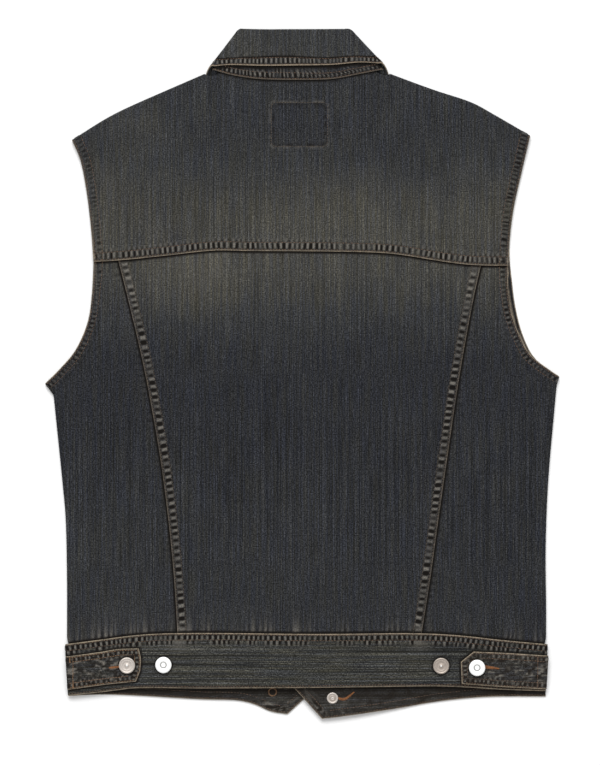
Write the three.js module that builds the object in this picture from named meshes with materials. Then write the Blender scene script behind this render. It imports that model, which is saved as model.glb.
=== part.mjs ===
// A denim vest with a turned-down collar, laid flat on its front so that its back is up.
//
// Sizes are millimetres. +X runs to the right across the back, +Y from the hem to the collar and +Z up from
// the surface that the vest lies on. The origin is the middle of the outline, on that surface.
// The front lies undermost with its outside down, on its buttons, and the back lies on it. Every panel is a
// wall of cloth: a patch between four edges, lifted to the height at which it rests on what is under it.
import * as THREE from "three";

// Cloth and seams
const PLY = 1.0; // one layer of denim
const BAND = 2.0; // waistbands and tabs, folded double
const ARMHOLE_HEM = 2.0; // the turned edge of an armhole
const COLLAR_CLOTH = 1.4;
const GAP = 0.3; // between pieces that touch
const LIFT = PLY + GAP; // how far a panel rises where it laps another
const SLACK = 0.1; // more, where a seam crosses others
const FELL = 11.4; // width of a lapped seam
const TUCK = 9.5; // how far the under panel reaches into it
const SLOPE = 3; // run over which a lapped panel comes down again
const EASE = 2; // how much wider a piece that crosses a strip lies over it
const HEM_WIDTH = 10.4;

// Buttons
const BUTTON_RADIUS = 8.5;
const BUTTON_HEIGHT = 3.6;
const BUTTON_LIFT = BUTTON_HEIGHT + GAP; // of the front edge that the buttons carry
const BUTTON_COLUMN = 31; // from the middle of the front to the line of buttons
const FRONT_BUTTONS = [200, 105, 10, -85, -180]; // y of each button above the waistband
const BUTTON_SIDES = 16;

// Fronts
const FRONT_EDGE = 8; // from the middle to each front edge
const PLACKET_WIDTH = 38;
const FRONT_NECK = 236; // y of the neck at the front edge
const WAIST_SEAM = -281; // y of the waistband's upper edge at the front

// How high the back rests over what is under it
const BACK_REST = 1.7;
const SIDE_LOFT = 2.2;
const COLLAR_LOFT = 3.4;
const RIDGE_LOFT = 4.8; // over the edge with the buttons
const HEM_LOFT = 2.0; // over the front waistband
const ARMHOLE_LOFT = 0.8;

// Outlines as rows of x, y. Each list is one smooth stretch, and stretches meet in corners.
const SHOULDER = {
  left: [[-101.5, 311.5], [-140, 295], [-197, 269], [-239.5, 243]],
  right: [[91.5, 311.5], [137, 295], [177, 281.5], [200, 269], [237, 247.5]],
};
const ARMHOLE_BACK = {
  left: [
    [-239.5, 243], [-231, 223], [-224, 187.5], [-219.5, 149.5], [-216.5, 118], [-219, 79.5],
    [-223, 54], [-235.5, 25], [-251.5, 5.5], [-267.5, -10.5],
  ],
  right: [
    [237, 247.5], [228.5, 211], [219.5, 170], [215, 131.5], [213.5, 108], [214.5, 85],
    [218, 62], [224.5, 43], [236, 21], [257, 4], [267.5, -3],
  ],
};
const ARMHOLE_FRONT = {
  left: ARMHOLE_BACK.left,
  right: [
    [237, 247.5], [228.5, 211], [219.5, 170], [215.5, 127], [218, 96.5], [221.5, 70],
    [229, 41], [241, 17], [257, 4], [267.5, -3],
  ],
};
const SIDE = {
  left: [
    [[-267.5, -10.5], [-258.5, -22]],
    [[-258.5, -22], [-249, -115], [-246, -149], [-244.5, -216], [-244.5, -274]],
  ],
  right: [
    [[267.5, -3], [264.5, -11.5]],
    [[264.5, -11.5], [262, -38], [255.5, -114], [253, -181], [253.5, -245], [253.5, -274]],
  ],
};
const TUCK_END = { left: [-241, -291], right: [249.5, -291] }; // the side seams inside the waistband
const YOKE_SEAM = [
  [-217, 116], [-187.5, 118], [-143.5, 122.5], [-91, 128], [-56, 127.5], [69, 126],
  [98, 124], [150, 116], [177, 113], [214, 112],
];
const YOKE_NECK = [
  [-101.5, 311.5], [-97.5, 309.5], [-91.5, 309.2], [-83, 313.5], [-70, 315.5], [-35, 313.5], [-2, 313],
  [33, 314], [60, 317], [73, 315.5], [82, 310.8], [87, 310], [91.5, 311.5],
];
const PRINCESS = {
  left: [[-193.5, 126], [-183, 85.5], [-167, 18], [-156, -38], [-145, -105], [-134.5, -197], [-129, -280]],
  right: [[188, 123], [179, 83], [164, 1.5], [150, -92], [140.5, -158.5], [133.5, -209.5], [122.5, -280]],
};
const WAIST_TOP = [
  [-246.5, -281], [-208.5, -276], [-173, -271.5], [-137, -269.5], [18.5, -270], [121.5, -269.5],
  [166, -272], [202, -276], [255, -281],
];
const WAIST_BOTTOM = [
  [-243.5, -334.5], [-211, -331], [-191, -328.5], [-174, -326.6], [-101, -326.8], [-2, -326],
  [143, -324.6], [167, -325.5], [207, -328], [253, -329.5],
];
const WAIST_SIDE = {
  left: [[-246.5, -281], [-245.5, -305], [-243.5, -334.5]],
  right: [[255, -281], [254, -305], [253, -329.5]],
};
const FRONT_HEM = {
  left: [[-243.5, -335], [-203, -333.5], [-105, -338.5], [-65, -340], [-49, -344], [-33, -351], [-15.5, -354]],
  right: [[253, -335.5], [191, -336], [143, -340.5], [95, -348.5], [35, -357], [20.5, -358.5]],
};
const WAIST_POINT = { left: [13, -328], right: [-12.5, -322] }; // the pointed ends of the waistband
const TAB = {
  left: {
    root: [[-244.5, -293.5], [-242.5, -328]],
    top: [[-244.5, -293.5], [-211, -289], [-191, -285.8], [-169.6, -285]],
    tip: [[[-169.6, -285], [-167.4, -297], [-168.3, -309]], [[-168.3, -309], [-172.6, -319.5]]],
    bottom: [[-242.5, -328], [-204, -322.7], [-172.6, -319.5]],
  },
  right: {
    root: [[253.8, -292.5], [252, -327.5]],
    top: [[253.8, -292.5], [215, -290], [177.8, -288.4]],
    tip: [[[177.8, -288.4], [164.6, -299]], [[164.6, -299], [165.5, -322]]],
    bottom: [[252, -327.5], [207, -325], [165.5, -322]],
  },
};
const BACK_BUTTONS = [
  { name: "button_tab_left", x: -181.8, y: -302.5, on: "tab" },
  { name: "button_waist_left", x: -144.1, y: -302.2, on: "band" },
  { name: "button_waist_right", x: 144.1, y: -303.1, on: "band" },
  { name: "button_tab_right", x: 181.3, y: -305, on: "tab" },
];
const WAIST_BUTTON = { x: 31.4, y: -336.8 }; // the lowest front button

// The collar is a strip folded along its roll, from the neck seam up the stand and down the leaf. It lies
// flattened round a middle line: over it at the back, under it at the front. Rows of x, y.
const COLLAR_HEIGHT = 4.9; // of that middle line
const STAND_OUT = 2.2; // from the middle line to the stand
const LEAF_OUT = 4.2; // and to the leaf
const COLLAR_BACK = {
  neck: [[-91.5, 315.2], [-76, 310.8], [-49, 306.3], [-2, 305], [33, 306.2], [60, 311.2], [82, 315.5]],
  roll: [[-61.5, 356.5], [-30, 355.9], [-2, 356.2], [45.5, 356.5]],
  leaf: [[-92, 319], [-77, 320.3], [-42, 319.5], [-2, 319.9], [32, 320.6], [60, 323], [80.5, 322]],
};
const COLLAR_FRONT = {
  left: {
    neck: [[-93, 306], [-88, 284], [-62, 250], [-40, 236], [-19, 230]],
    roll: [[-61.5, 356.5], [-50, 310], [-32, 265], [-20, 240]],
    leaf: [[-99, 303], [-99, 250], [-66, 190]],
    out: [-0.788, 0.615],
  },
  right: {
    neck: [[84, 307], [79, 284], [57, 250], [38, 236], [19, 230]],
    roll: [[45.5, 356.5], [40, 310], [28, 265], [20, 240]],
    leaf: [[89, 304], [91, 250], [62, 190]],
    out: [0.743, 0.67],
  },
};
const COLLAR_ZONE = [[-101, 313], [-100, 250], [-66, 190], [62, 190], [94, 250], [91, 313], [49, 358], [-65, 358]];

const SIDES = ["left", "right"];
const CURVE_STEPS = 10; // samples between two points of a stretch

const COLOURS = {
  denim: { color: 0x33373b, roughness: 0.92, metalness: 0 },
  band: { color: 0x35352f, roughness: 0.92, metalness: 0 },
  metal: { color: 0xb9b4aa, roughness: 0.35, metalness: 0.9 },
};

// 0 below from, 1 above to, and smooth between.
const step = (from, to, value) => THREE.MathUtils.smoothstep(value, from, to);

// The largest of several rises, with the corners between them eased.
function largest(...rises) {
  const sharpness = 8;
  return rises.reduce((sum, rise) => sum + Math.max(rise, 0) ** sharpness, 0) ** (1 / sharpness);
}

// A line across or along the cloth: smooth stretches that meet in corners.
class Line {
  constructor(...stretches) {
    this.points = [];
    for (const stretch of stretches) {
      const corners = stretch.map(([x, y]) => new THREE.Vector3(x, y, 0));
      const curve = new THREE.CatmullRomCurve3(corners, false, "centripetal");
      this.points.push(...curve.getPoints(CURVE_STEPS * (corners.length - 1)));
    }
    this.points = this.points.filter((p, i, all) => i === 0 || p.distanceTo(all[i - 1]) > 1e-6);
    this.length = this.points.reduce((sum, p, i, all) => (i ? sum + p.distanceTo(all[i - 1]) : 0), 0);
  }

  // The point at a value of x or of y, on a line that runs one way along that axis.
  where(axis, value) {
    const [first, last] = [this.points[0][axis], this.points.at(-1)[axis]];
    const way = Math.sign(last - first);
    let i = this.points.findIndex((p) => way * (p[axis] - value) >= 0);
    i = i < 0 ? this.points.length - 1 : Math.max(i, 1);
    const [from, to] = [this.points[i - 1], this.points[i]];
    const part = THREE.MathUtils.clamp((value - from[axis]) / (to[axis] - from[axis]), 0, 1);
    return from.clone().lerp(to, part);
  }

  // The point at a share of the way along an axis, or with no axis at that share of the corners.
  at(share, axis) {
    const [first, last] = [this.points[0], this.points.at(-1)];
    if (axis) return this.where(axis, first[axis] + (last[axis] - first[axis]) * share);
    const place = share * (this.points.length - 1);
    const i = Math.min(Math.floor(place), this.points.length - 2);
    return this.points[i].clone().lerp(this.points[i + 1], place - i);
  }

  between(fromX, toX) {
    const steps = 12;
    const xs = Array.from({ length: steps + 1 }, (_, i) => fromX + ((toX - fromX) * i) / steps);
    return xs.map((x) => [x, this.where("x", x).y]);
  }

  nearest(x, y) {
    let best = { distance: Infinity };
    for (let i = 1; i < this.points.length; i++) {
      const from = this.points[i - 1];
      const to = this.points[i];
      const [dx, dy] = [to.x - from.x, to.y - from.y];
      const part = THREE.MathUtils.clamp(((x - from.x) * dx + (y - from.y) * dy) / (dx * dx + dy * dy), 0, 1);
      const distance = Math.hypot(x - from.x - part * dx, y - from.y - part * dy);
      if (distance < best.distance) {
        const span = Math.hypot(dx, dy);
        best = { distance, normal: [dy / span, -dx / span] };
      }
    }
    return best;
  }
}

// How far x, y is outside a polygon, 0 inside it.
function outside(polygon) {
  const edge = new Line(...polygon.map((corner, i) => [corner, polygon[(i + 1) % polygon.length]]));
  return (x, y) => {
    let inside = false;
    polygon.forEach(([x1, y1], i) => {
      const [x2, y2] = polygon[(i + 1) % polygon.length];
      if (y1 > y !== y2 > y && x < x1 + ((y - y1) / (y2 - y1)) * (x2 - x1)) inside = !inside;
    });
    return inside ? 0 : edge.nearest(x, y).distance;
  };
}

const panelSide = Object.fromEntries(SIDES.map((s) => [s, new Line(...SIDE[s], [SIDE[s][1].at(-1), TUCK_END[s]])]));
const panelFolds = [...SIDES.map((s) => panelSide[s]), ...SIDES.map((s) => new Line(SHOULDER[s]))];
const bandFolds = SIDES.map((s) => new Line(WAIST_SIDE[s]));
const fromFold = (folds) => (x, y) => Math.min(...folds.map((fold) => fold.nearest(x, y).distance));
const fromPanelFold = fromFold(panelFolds);
const princess = Object.fromEntries(SIDES.map((s) => [s, new Line(PRINCESS[s])]));
const yokeSeam = new Line(YOKE_SEAM);
const waistTop = new Line(WAIST_TOP);
const fromArmhole = fromFold(SIDES.flatMap((s) => [new Line(ARMHOLE_BACK[s]), new Line(ARMHOLE_FRONT[s])]));
const fromCollar = outside(COLLAR_ZONE);
const neckEnd = { left: [-FRONT_EDGE, FRONT_NECK - 8], right: [FRONT_EDGE, FRONT_NECK - 8] };
const fromFrontNeck = fromFold(SIDES.map((s) => new Line([...COLLAR_FRONT[s].neck, neckEnd[s]])));
const fromLeaf = SIDES.map((s) => outside([...COLLAR_FRONT[s].roll, ...COLLAR_FRONT[s].leaf.slice().reverse()]));

// Heights of what each layer rests on.
const buttonLift = (x) => (x < 0 ? 0 : BUTTON_LIFT * (1 - step(48, 130, x)));
const bandRest = { left: () => 0, right: (x) => BUTTON_LIFT * (1 - step(48, 130, x)) };
const inPlacket = (x) => 1 - step(FRONT_EDGE + PLACKET_WIDTH, FRONT_EDGE + PLACKET_WIDTH + SLOPE, Math.abs(x));

// The underside of a front panel, which is its outside.
function frontRest(x, y) {
  const overBand = (BAND + GAP) * (1 - step(WAIST_SEAM + 1, WAIST_SEAM + 10, y));
  const overPlacket = LIFT * inPlacket(x);
  const byLeaf = 1 - step(8, 26, Math.min(...fromLeaf.map((from) => from(x, y))));
  const overLeaf = byLeaf * (COLLAR_CLOTH + 2 * GAP + overPlacket);
  const overStand = (COLLAR_HEIGHT - STAND_OUT + COLLAR_CLOTH / 2 + 1.5 * GAP) * (1 - step(8.5, 16, fromFrontNeck(x, y)));
  return largest(largest(overPlacket, overBand) + buttonLift(x), overLeaf, overStand);
}

// The underside of the back's lowest layer.
function backRest(x, y) {
  const onRidge = step(-88, 4, x) * (1 - step(56, 145, x));
  const ridge = RIDGE_LOFT * onRidge * (1 - step(258, 312, y));
  const hem = HEM_LOFT * (1 - onRidge / 2) * (1 - step(-272, -240, y));
  const side = SIDE_LOFT * (1 - step(12, 45, fromPanelFold(x, y)));
  const armhole = ARMHOLE_LOFT * (1 - step(12, 40, fromArmhole(x, y)));
  const collar = COLLAR_LOFT * (1 - step(0, 60, fromCollar(x, y)));
  return BACK_REST + largest(ridge + hem, side, armhole, collar);
}

const seamHeight = (x, y) => (backRest(x, y) + PLY + frontRest(x, y)) / 2;
const hemmed = (x, y) => PLY + (ARMHOLE_HEM - PLY) * (1 - step(HEM_WIDTH, HEM_WIDTH + SLOPE, fromArmhole(x, y)));
const inStrip = (depth) => 1 - step(FELL, FELL + SLOPE, depth);
const fromPrincess = (x, y) => Math.min(x - princess.left.where("y", y).x, princess.right.where("y", y).x - x);
const inPrincess = (x, y) => inStrip(fromPrincess(x, y));
const overPrincess = (x, y) => step(-SLOPE - EASE, -EASE, fromPrincess(x, y)) * inStrip(fromPrincess(x, y) - EASE);
const inYokeSeam = (x, y) => inStrip(y - yokeSeam.where("x", x).y);
const inWaistSeam = (x, y) => inStrip(waistTop.where("x", x).y - y);

// The outer face of a layer: its point and the way out of the cloth at x, y. Near a fold the layer turns
// through a quarter circle and ends upright at the height of the seam.
function turned(x, y, folds, face, seam, up) {
  const radius = Math.abs(face - seam);
  let near = { distance: Infinity };
  for (const fold of folds) {
    const found = fold.nearest(x, y);
    if (found.distance < near.distance) near = found;
  }
  if (near.distance >= radius) return { point: new THREE.Vector3(x, y, face), normal: new THREE.Vector3(0, 0, up) };
  const upright = 1 - near.distance / radius;
  const flat = Math.sqrt(1 - upright ** 2);
  const [nx, ny] = near.normal;
  const outward = nx * x + ny * (y - 100) > 0 ? 1 : -1;
  return {
    point: new THREE.Vector3(x, y, seam + (up * GAP) / 2 + (face - seam - (up * GAP) / 2) * flat),
    normal: new THREE.Vector3(outward * nx * upright, outward * ny * upright, up * flat),
  };
}

const backFace = (rise, ply) => (x, y) =>
  turned(x, y, panelFolds, backRest(x, y) + rise(x, y) + ply(x, y), seamHeight(x, y), 1);
const frontFace = (x, y) => turned(x, y, panelFolds, frontRest(x, y), seamHeight(x, y), -1);
const bandTop = (x, y) => backRest(x, y) + LIFT + LIFT * overPrincess(x, y) * inWaistSeam(x, y) + SLACK + BAND;
const bandSeam = (x, y) => (backRest(x, y) + LIFT + SLACK + BAND + buttonLift(x)) / 2;
const bandFace = (x, y) => turned(x, y, bandFolds, bandTop(x, y), bandSeam(x, y), 1);
const frontBandFace = (side) => (x, y) => turned(x, y, bandFolds, bandRest[side](x, y), bandSeam(x, y), -1);

// A surface moved out of the cloth along its own normals.
const movedOut = (face, distance) => (x, y) => {
  const { point, normal } = face(x, y);
  return { point: point.clone().addScaledVector(normal, distance), normal };
};

// The patch between four edges. bottom and top run the way of u, left and right the way of v, so that x is
// shared out between the sides and y between the bottom and the top.
const patch = (bottom, top, left, right) => ({
  width: (v) => Math.abs(right.at(v, "y").x - left.at(v, "y").x),
  height: (u) => Math.abs(top.at(u, "x").y - bottom.at(u, "x").y),
  point: (u, v) => ({
    x: THREE.MathUtils.lerp(left.at(v, "y").x, right.at(v, "y").x, u),
    y: THREE.MathUtils.lerp(bottom.at(u, "x").y, top.at(u, "x").y, v),
  }),
});

// Shares of a width: set distances in from the start and the end, and even ones between.
const shares = (fromStart, fromEnd, between) => (width) => {
  const [low, high] = [fromStart.at(-1), width - fromEnd.at(-1)];
  const even = Array.from({ length: between - 1 }, (_, i) => low + ((high - low) * (i + 1)) / between);
  return [...fromStart, ...even, ...fromEnd.map((d) => width - d).reverse()].map((d) => d / width);
};

// A closed wall between two grids of points with the same rows.
function closedWall(outer, inner) {
  const rows = outer.length;
  const columns = outer[0].length;
  const positions = [...outer.flat(), ...inner.flat()].flatMap((p) => [p.x, p.y, p.z]);
  const index = [];
  const id = (layer, i, j) => layer * rows * columns + i * columns + j;
  const quad = (a, b, c, d) => index.push(a, b, c, a, c, d);
  for (let i = 0; i + 1 < rows; i++)
    for (let j = 0; j + 1 < columns; j++) {
      quad(id(0, i, j), id(0, i, j + 1), id(0, i + 1, j + 1), id(0, i + 1, j));
      quad(id(1, i, j), id(1, i + 1, j), id(1, i + 1, j + 1), id(1, i, j + 1));
    }
  for (let j = 0; j + 1 < columns; j++) {
    quad(id(0, 0, j), id(1, 0, j), id(1, 0, j + 1), id(0, 0, j + 1));
    quad(id(0, rows - 1, j), id(0, rows - 1, j + 1), id(1, rows - 1, j + 1), id(1, rows - 1, j));
  }
  for (let i = 0; i + 1 < rows; i++) {
    quad(id(0, i, 0), id(0, i + 1, 0), id(1, i + 1, 0), id(1, i, 0));
    quad(id(0, i, columns - 1), id(1, i, columns - 1), id(1, i + 1, columns - 1), id(0, i + 1, columns - 1));
  }
  const geometry = new THREE.BufferGeometry();
  geometry.setAttribute("position", new THREE.Float32BufferAttribute(positions, 3));
  geometry.setIndex(signedVolume(positions, index) < 0 ? index.reverse() : index);
  geometry.computeVertexNormals();
  return geometry;
}

function signedVolume(positions, index) {
  const corner = (i) => new THREE.Vector3().fromArray(positions, 3 * i);
  let sum = 0;
  for (let k = 0; k < index.length; k += 3)
    sum += corner(index[k]).dot(corner(index[k + 1]).cross(corner(index[k + 2])));
  return sum / 6;
}

const vest = new THREE.Group();
vest.name = "vest";
function add(name, geometry, look) {
  const mesh = new THREE.Mesh(geometry, new THREE.MeshStandardMaterial(COLOURS[look]));
  mesh.name = name;
  vest.add(mesh);
  return mesh;
}

// A wall over a patch. across gives the shares of a row at which it has its columns, and up those of a column
// at which it has its rows. part keeps only a range of the rows and columns.
function addWall(name, shape, across, up, face, ply, look = "denim", part = {}) {
  const rows = up(shape.height(0)).map((_, i) => i).slice(part.rows?.[0], part.rows?.[1]);
  const columns = across(shape.width(0)).map((_, j) => j).slice(part.columns?.[0], part.columns?.[1]);
  const outer = [];
  const inner = [];
  for (const i of rows) {
    const faces = columns.map((j) => {
      let [u, v] = [0, 0];
      for (let round = 0; round < 5; round++) {
        v = up(shape.height(u))[i];
        u = across(shape.width(v))[j];
      }
      const { x, y } = shape.point(u, v);
      return { x, y, ...face(x, y) };
    });
    outer.push(faces.map(({ point }) => point));
    inner.push(faces.map(({ x, y, point, normal }) => point.clone().addScaledVector(normal, -ply(x, y))));
  }
  return add(name, closedWall(outer, inner), look);
}

const FOLD_STEPS = [0, 0.35, 1.25, 2.6]; // columns through the turn at a fold
const HEM_STEPS = [HEM_WIDTH, HEM_WIDTH + SLOPE];
const LIFT_STEPS = [56, 72, 88, 104, 120]; // columns where the front comes down from the buttons
const SEAM_STEPS = [0, FELL / 2, FELL, FELL + SLOPE];
const reversed = (points) => points.slice().reverse();
const raised = (points, distance) => points.map(([x, y]) => [x, y + distance]);

// Columns at both sides of a princess seam's strip, as distances from an edge of a piece that laps it.
function stripSteps(side, y, edge) {
  const fold = Math.abs(princess[side].where("y", y).x - edge);
  return [-SLOPE - EASE, -EASE, 1, FELL + EASE, FELL + EASE + SLOPE].map((depth) => fold + depth);
}

// The yoke: the upper back, from the shoulders down to its seam over the panels below.
function addYoke() {
  const top = new Line(reversed(SHOULDER.left), YOKE_NECK, SHOULDER.right);
  const ends = { left: YOKE_SEAM[0], right: YOKE_SEAM.at(-1) };
  const armhole = (s) => new Line([ends[s], ...reversed(ARMHOLE_BACK[s].filter(([, y]) => y > ends[s][1] + 8))]);
  const shape = patch(yokeSeam, top, armhole("left"), armhole("right"));
  const steps = (s) => [0, ...HEM_STEPS, ...stripSteps(s, 122, ends[s][0])];
  const across = shares(steps("left"), steps("right"), 18);
  const up = shares(SEAM_STEPS, FOLD_STEPS, 8);
  const rise = (x, y) => inYokeSeam(x, y) * (LIFT * (1 + overPrincess(x, y)) + hemmed(x, y) - PLY + SLACK);
  addWall("back_yoke", shape, across, up, backFace(rise, hemmed), hemmed);
}

// The lower back: a centre panel that laps a side panel on each side.
function addBackPanels() {
  const top = new Line(raised(YOKE_SEAM, TUCK));
  const bottom = new Line(raised(WAIST_TOP, -TUCK));
  const on = (line, x) => [x, line.where("x", x).y];
  const down = (points) => {
    const [from, to] = [on(top, points[0][0]), on(bottom, points.at(-1)[0])];
    return [to, ...reversed(points.slice(1, -1)), from];
  };
  const edges = SIDES.map((s) => down(PRINCESS[s]));
  const centre = patch(
    new Line(bottom.between(edges[0][0][0], edges[1][0][0])),
    new Line(top.between(edges[0].at(-1)[0], edges[1].at(-1)[0])),
    new Line(edges[0]),
    new Line(edges[1]),
  );
  const rise = (x, y) => LIFT * inPrincess(x, y);
  const single = () => PLY;
  const centreRows = shares([0, 12, 24, 34, 44], [0, TUCK], 8);
  addWall("back_centre", centre, shares(SEAM_STEPS, SEAM_STEPS, 11), centreRows, backFace(rise, single), single);

  for (const s of SIDES) {
    const inward = s === "left" ? TUCK : -TUCK;
    const inner = down(PRINCESS[s].map(([x, y]) => [x + inward, y]));
    const armholeTop = on(top, ARMHOLE_BACK[s][4][0]);
    const armhole = [armholeTop, ...ARMHOLE_BACK[s].filter(([, y]) => y < armholeTop[1] - 15)];
    const root = on(bottom, TUCK_END[s][0]);
    const outer = new Line([root, SIDE[s][1].at(-1)], ...SIDE[s].map(reversed).reverse(), reversed(armhole));
    const shape = patch(
      new Line(bottom.between(root[0], inner[0][0])),
      new Line(top.between(armholeTop[0], inner.at(-1)[0])),
      outer,
      new Line(inner),
    );
    const across = shares([...FOLD_STEPS, ...HEM_STEPS], [0, TUCK], 3);
    const up = shares(sideRows(root[1], ARMHOLE_BACK[s].at(-1)[1]), [0, TUCK], 4);
    addWall(`back_side_${s}`, shape, across, up, backFace(() => 0, hemmed), hemmed);
  }
}

// Rows of a side, from its lower end to a little over the corner under the arm.
function sideRows(bottomY, cornerY) {
  const corner = cornerY - bottomY;
  const even = [100, 136, 172, 208, 240].filter((d) => d < corner - 25);
  return [0, 12, 19, 27, 40, 65, ...even, corner - 16, corner - 8, corner, corner + 6, corner + 15, corner + 28];
}

// The waistband: one band across the back and one on each front, with pointed ends.
function addWaistbands() {
  const band = () => BAND;
  const back = patch(
    new Line(WAIST_BOTTOM),
    waistTop,
    new Line(reversed(WAIST_SIDE.left)),
    new Line(reversed(WAIST_SIDE.right)),
  );
  const turnSteps = [0, 0.5, 1.9, 4];
  const steps = (s) => [...turnSteps, 24, 46, 68, 90, 110, ...stripSteps(s, -275, WAIST_SIDE[s][0][0])];
  const backRows = shares([0, 14], [0, FELL, FELL + SLOPE], 2);
  addWall("waistband_back", back, shares(steps("left"), steps("right"), 10), backRows, bandFace, band, "band");
  for (const s of SIDES) {
    const sign = s === "left" ? -1 : 1;
    const [side, tip] = [FRONT_HEM[s][0], FRONT_HEM[s].at(-1)];
    const sideTop = WAIST_SIDE[s][0];
    const edgeTop = [sign * FRONT_EDGE, WAIST_SEAM];
    const shoulder = [sign * FRONT_EDGE, -300];
    const shape = patch(
      new Line(FRONT_HEM[s]),
      new Line([sideTop, [sign * 125, WAIST_SEAM + 1.5], edgeTop]),
      new Line([side, sideTop]),
      new Line([tip, WAIST_POINT[s]], [WAIST_POINT[s], shoulder], [shoulder, edgeTop]),
    );
    const pointY = (WAIST_POINT[s][1] - tip[1]) / (WAIST_SEAM - tip[1]);
    const shoulderY = (shoulder[1] - tip[1]) / (WAIST_SEAM - tip[1]);
    const up = [0, pointY / 2, pointY, shoulderY, 1];
    const across = shares(turnSteps, [0, PLACKET_WIDTH, ...LIFT_STEPS], 7);
    addWall(`waistband_front_${s}`, shape, across, () => up, frontBandFace(s), band, "band");
  }
}

// The fronts, with a placket on each front edge.
function addFronts() {
  for (const s of SIDES) {
    const sign = s === "left" ? -1 : 1;
    const edgeX = sign * FRONT_EDGE;
    const bottomY = WAIST_SEAM - TUCK;
    const lapped = COLLAR_FRONT[s].neck.slice(1, -1).map(([x, y]) => [x - sign * 5.5, y + 6.5]);
    const neck = [SHOULDER[s][0], ...lapped, [edgeX, FRONT_NECK]];
    const outer = new Line([TUCK_END[s], SIDE[s][1].at(-1)], ...SIDE[s].map(reversed).reverse(),
      reversed(ARMHOLE_FRONT[s]));
    const shape = patch(
      new Line([TUCK_END[s], [edgeX, bottomY]]),
      new Line(reversed(SHOULDER[s]), neck),
      outer,
      new Line([[edgeX, bottomY], [edgeX, FRONT_NECK]]),
    );
    const placketSteps = [0, PLACKET_WIDTH / 2, PLACKET_WIDTH];
    const inner = [...placketSteps, PLACKET_WIDTH + SLOPE, ...LIFT_STEPS];
    const across = shares([...FOLD_STEPS, ...HEM_STEPS], inner, 4);
    const neckRows = [9.5, 17, 25, 36, 52, 68, 84, 104];
    const bottomRows = sideRows(TUCK_END[s][1], ARMHOLE_FRONT[s].at(-1)[1]);
    const up = shares(bottomRows, [...FOLD_STEPS, ...neckRows], 3);
    addWall(`front_${s}`, shape, across, up, frontFace, hemmed);
    // The placket takes the same columns and rows, so that it lies true against the front.
    const part = { columns: [-placketSteps.length], rows: [1, -1 - FOLD_STEPS.length] };
    addWall(`placket_${s}`, shape, across, up, movedOut(frontFace, LIFT), () => PLY, "denim", part);
  }
}

// The collar, as sections from the neck seam over the roll to the leaf's edge.
function addCollar() {
  const lines = (part) => ({ neck: new Line(part.neck), roll: new Line(part.roll), leaf: new Line(part.leaf) });
  const back = lines(COLLAR_BACK);
  const stations = [];
  const station = (neck, roll, leaf, way) => stations.push({ neck, roll, leaf, way });
  const front = (s, shares) => {
    const part = lines(COLLAR_FRONT[s]);
    const way = new THREE.Vector3(0, 0, -1);
    for (const share of shares) station(part.neck.at(share), part.roll.at(share), part.leaf.at(share), way);
  };
  // The turn at the side of the neck, from the front under the middle line to the back over it.
  const turn = (s, angles) => {
    const part = lines(COLLAR_FRONT[s]);
    const end = s === "left" ? 0 : 1;
    const out = new THREE.Vector3(...COLLAR_FRONT[s].out, 0);
    for (const degrees of angles) {
      const angle = THREE.MathUtils.degToRad(degrees);
      const share = (Math.sin(angle) + 1) / 2;
      const way = out.clone().multiplyScalar(Math.cos(angle)).setZ(Math.sin(angle));
      const between = (line) => part[line].at(0).lerp(back[line].at(end), share);
      station(between("neck"), between("roll"), between("leaf"), way);
    }
  };
  front("left", [1, 0.85, 0.65, 0.45, 0.25, 0.1]);
  turn("left", [-90, -55, -25, 0, 25, 55]);
  for (const share of [0, 0.08, 0.2, 0.35, 0.5, 0.65, 0.8, 0.92, 1])
    station(back.neck.at(share), back.roll.at(share), back.leaf.at(share), new THREE.Vector3(0, 0, 1));
  turn("right", [55, 25, 0, -25, -55, -90]);
  front("right", [0.1, 0.25, 0.45, 0.65, 0.85, 1]);

  const rollRadius = (LEAF_OUT - STAND_OUT) / 2;
  const flat = [0, 0.3, 0.65, 1];
  const bend = [30, 60, 90, 120, 150];
  const section = ({ neck, roll, leaf, way }) => {
    const beyond = roll.clone().multiplyScalar(2).sub(neck).sub(leaf).normalize();
    const centre = roll.clone().setZ(COLLAR_HEIGHT);
    const place = (from, to, share, out) =>
      from.clone().lerp(to, share).setZ(COLLAR_HEIGHT).addScaledVector(way, out);
    return [
      ...flat.map((share) => place(neck, roll, share, STAND_OUT)),
      ...bend.map((degrees) => {
        const angle = THREE.MathUtils.degToRad(degrees);
        return centre
          .clone()
          .addScaledVector(beyond, rollRadius * Math.sin(angle))
          .addScaledVector(way, (LEAF_OUT + STAND_OUT) / 2 - rollRadius * Math.cos(angle));
      }),
      ...flat.map((share) => place(roll, leaf, share, LEAF_OUT)),
    ];
  };
  const middle = stations.map(section);
  const offset = (distance) =>
    middle.map((row, i) =>
      row.map((point, j) => {
        const alongRow = row[Math.min(j + 1, row.length - 1)].clone().sub(row[Math.max(j - 1, 0)]);
        const next = middle[Math.min(i + 1, middle.length - 1)][j];
        const alongColumn = next.clone().sub(middle[Math.max(i - 1, 0)][j]);
        return point.clone().addScaledVector(alongRow.cross(alongColumn).normalize(), distance);
      }),
    );
  add("collar", closedWall(offset(COLLAR_CLOTH / 2), offset(-COLLAR_CLOTH / 2)), "denim");
}

// A tab on each side of the back waistband.
function addTabs() {
  for (const s of SIDES) {
    const { root, top, tip, bottom } = TAB[s];
    const shape = patch(new Line(bottom), new Line(top), new Line(reversed(root)), new Line(...tip.map(reversed).reverse()));
    const up = () => [0, 0.28, 0.5, 0.75, 1];
    const across = shares([0, 1, 3.5], [0], 7);
    addWall(`tab_${s}`, shape, across, up, movedOut(bandFace, GAP + BAND), () => BAND, "band");
  }
}

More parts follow.
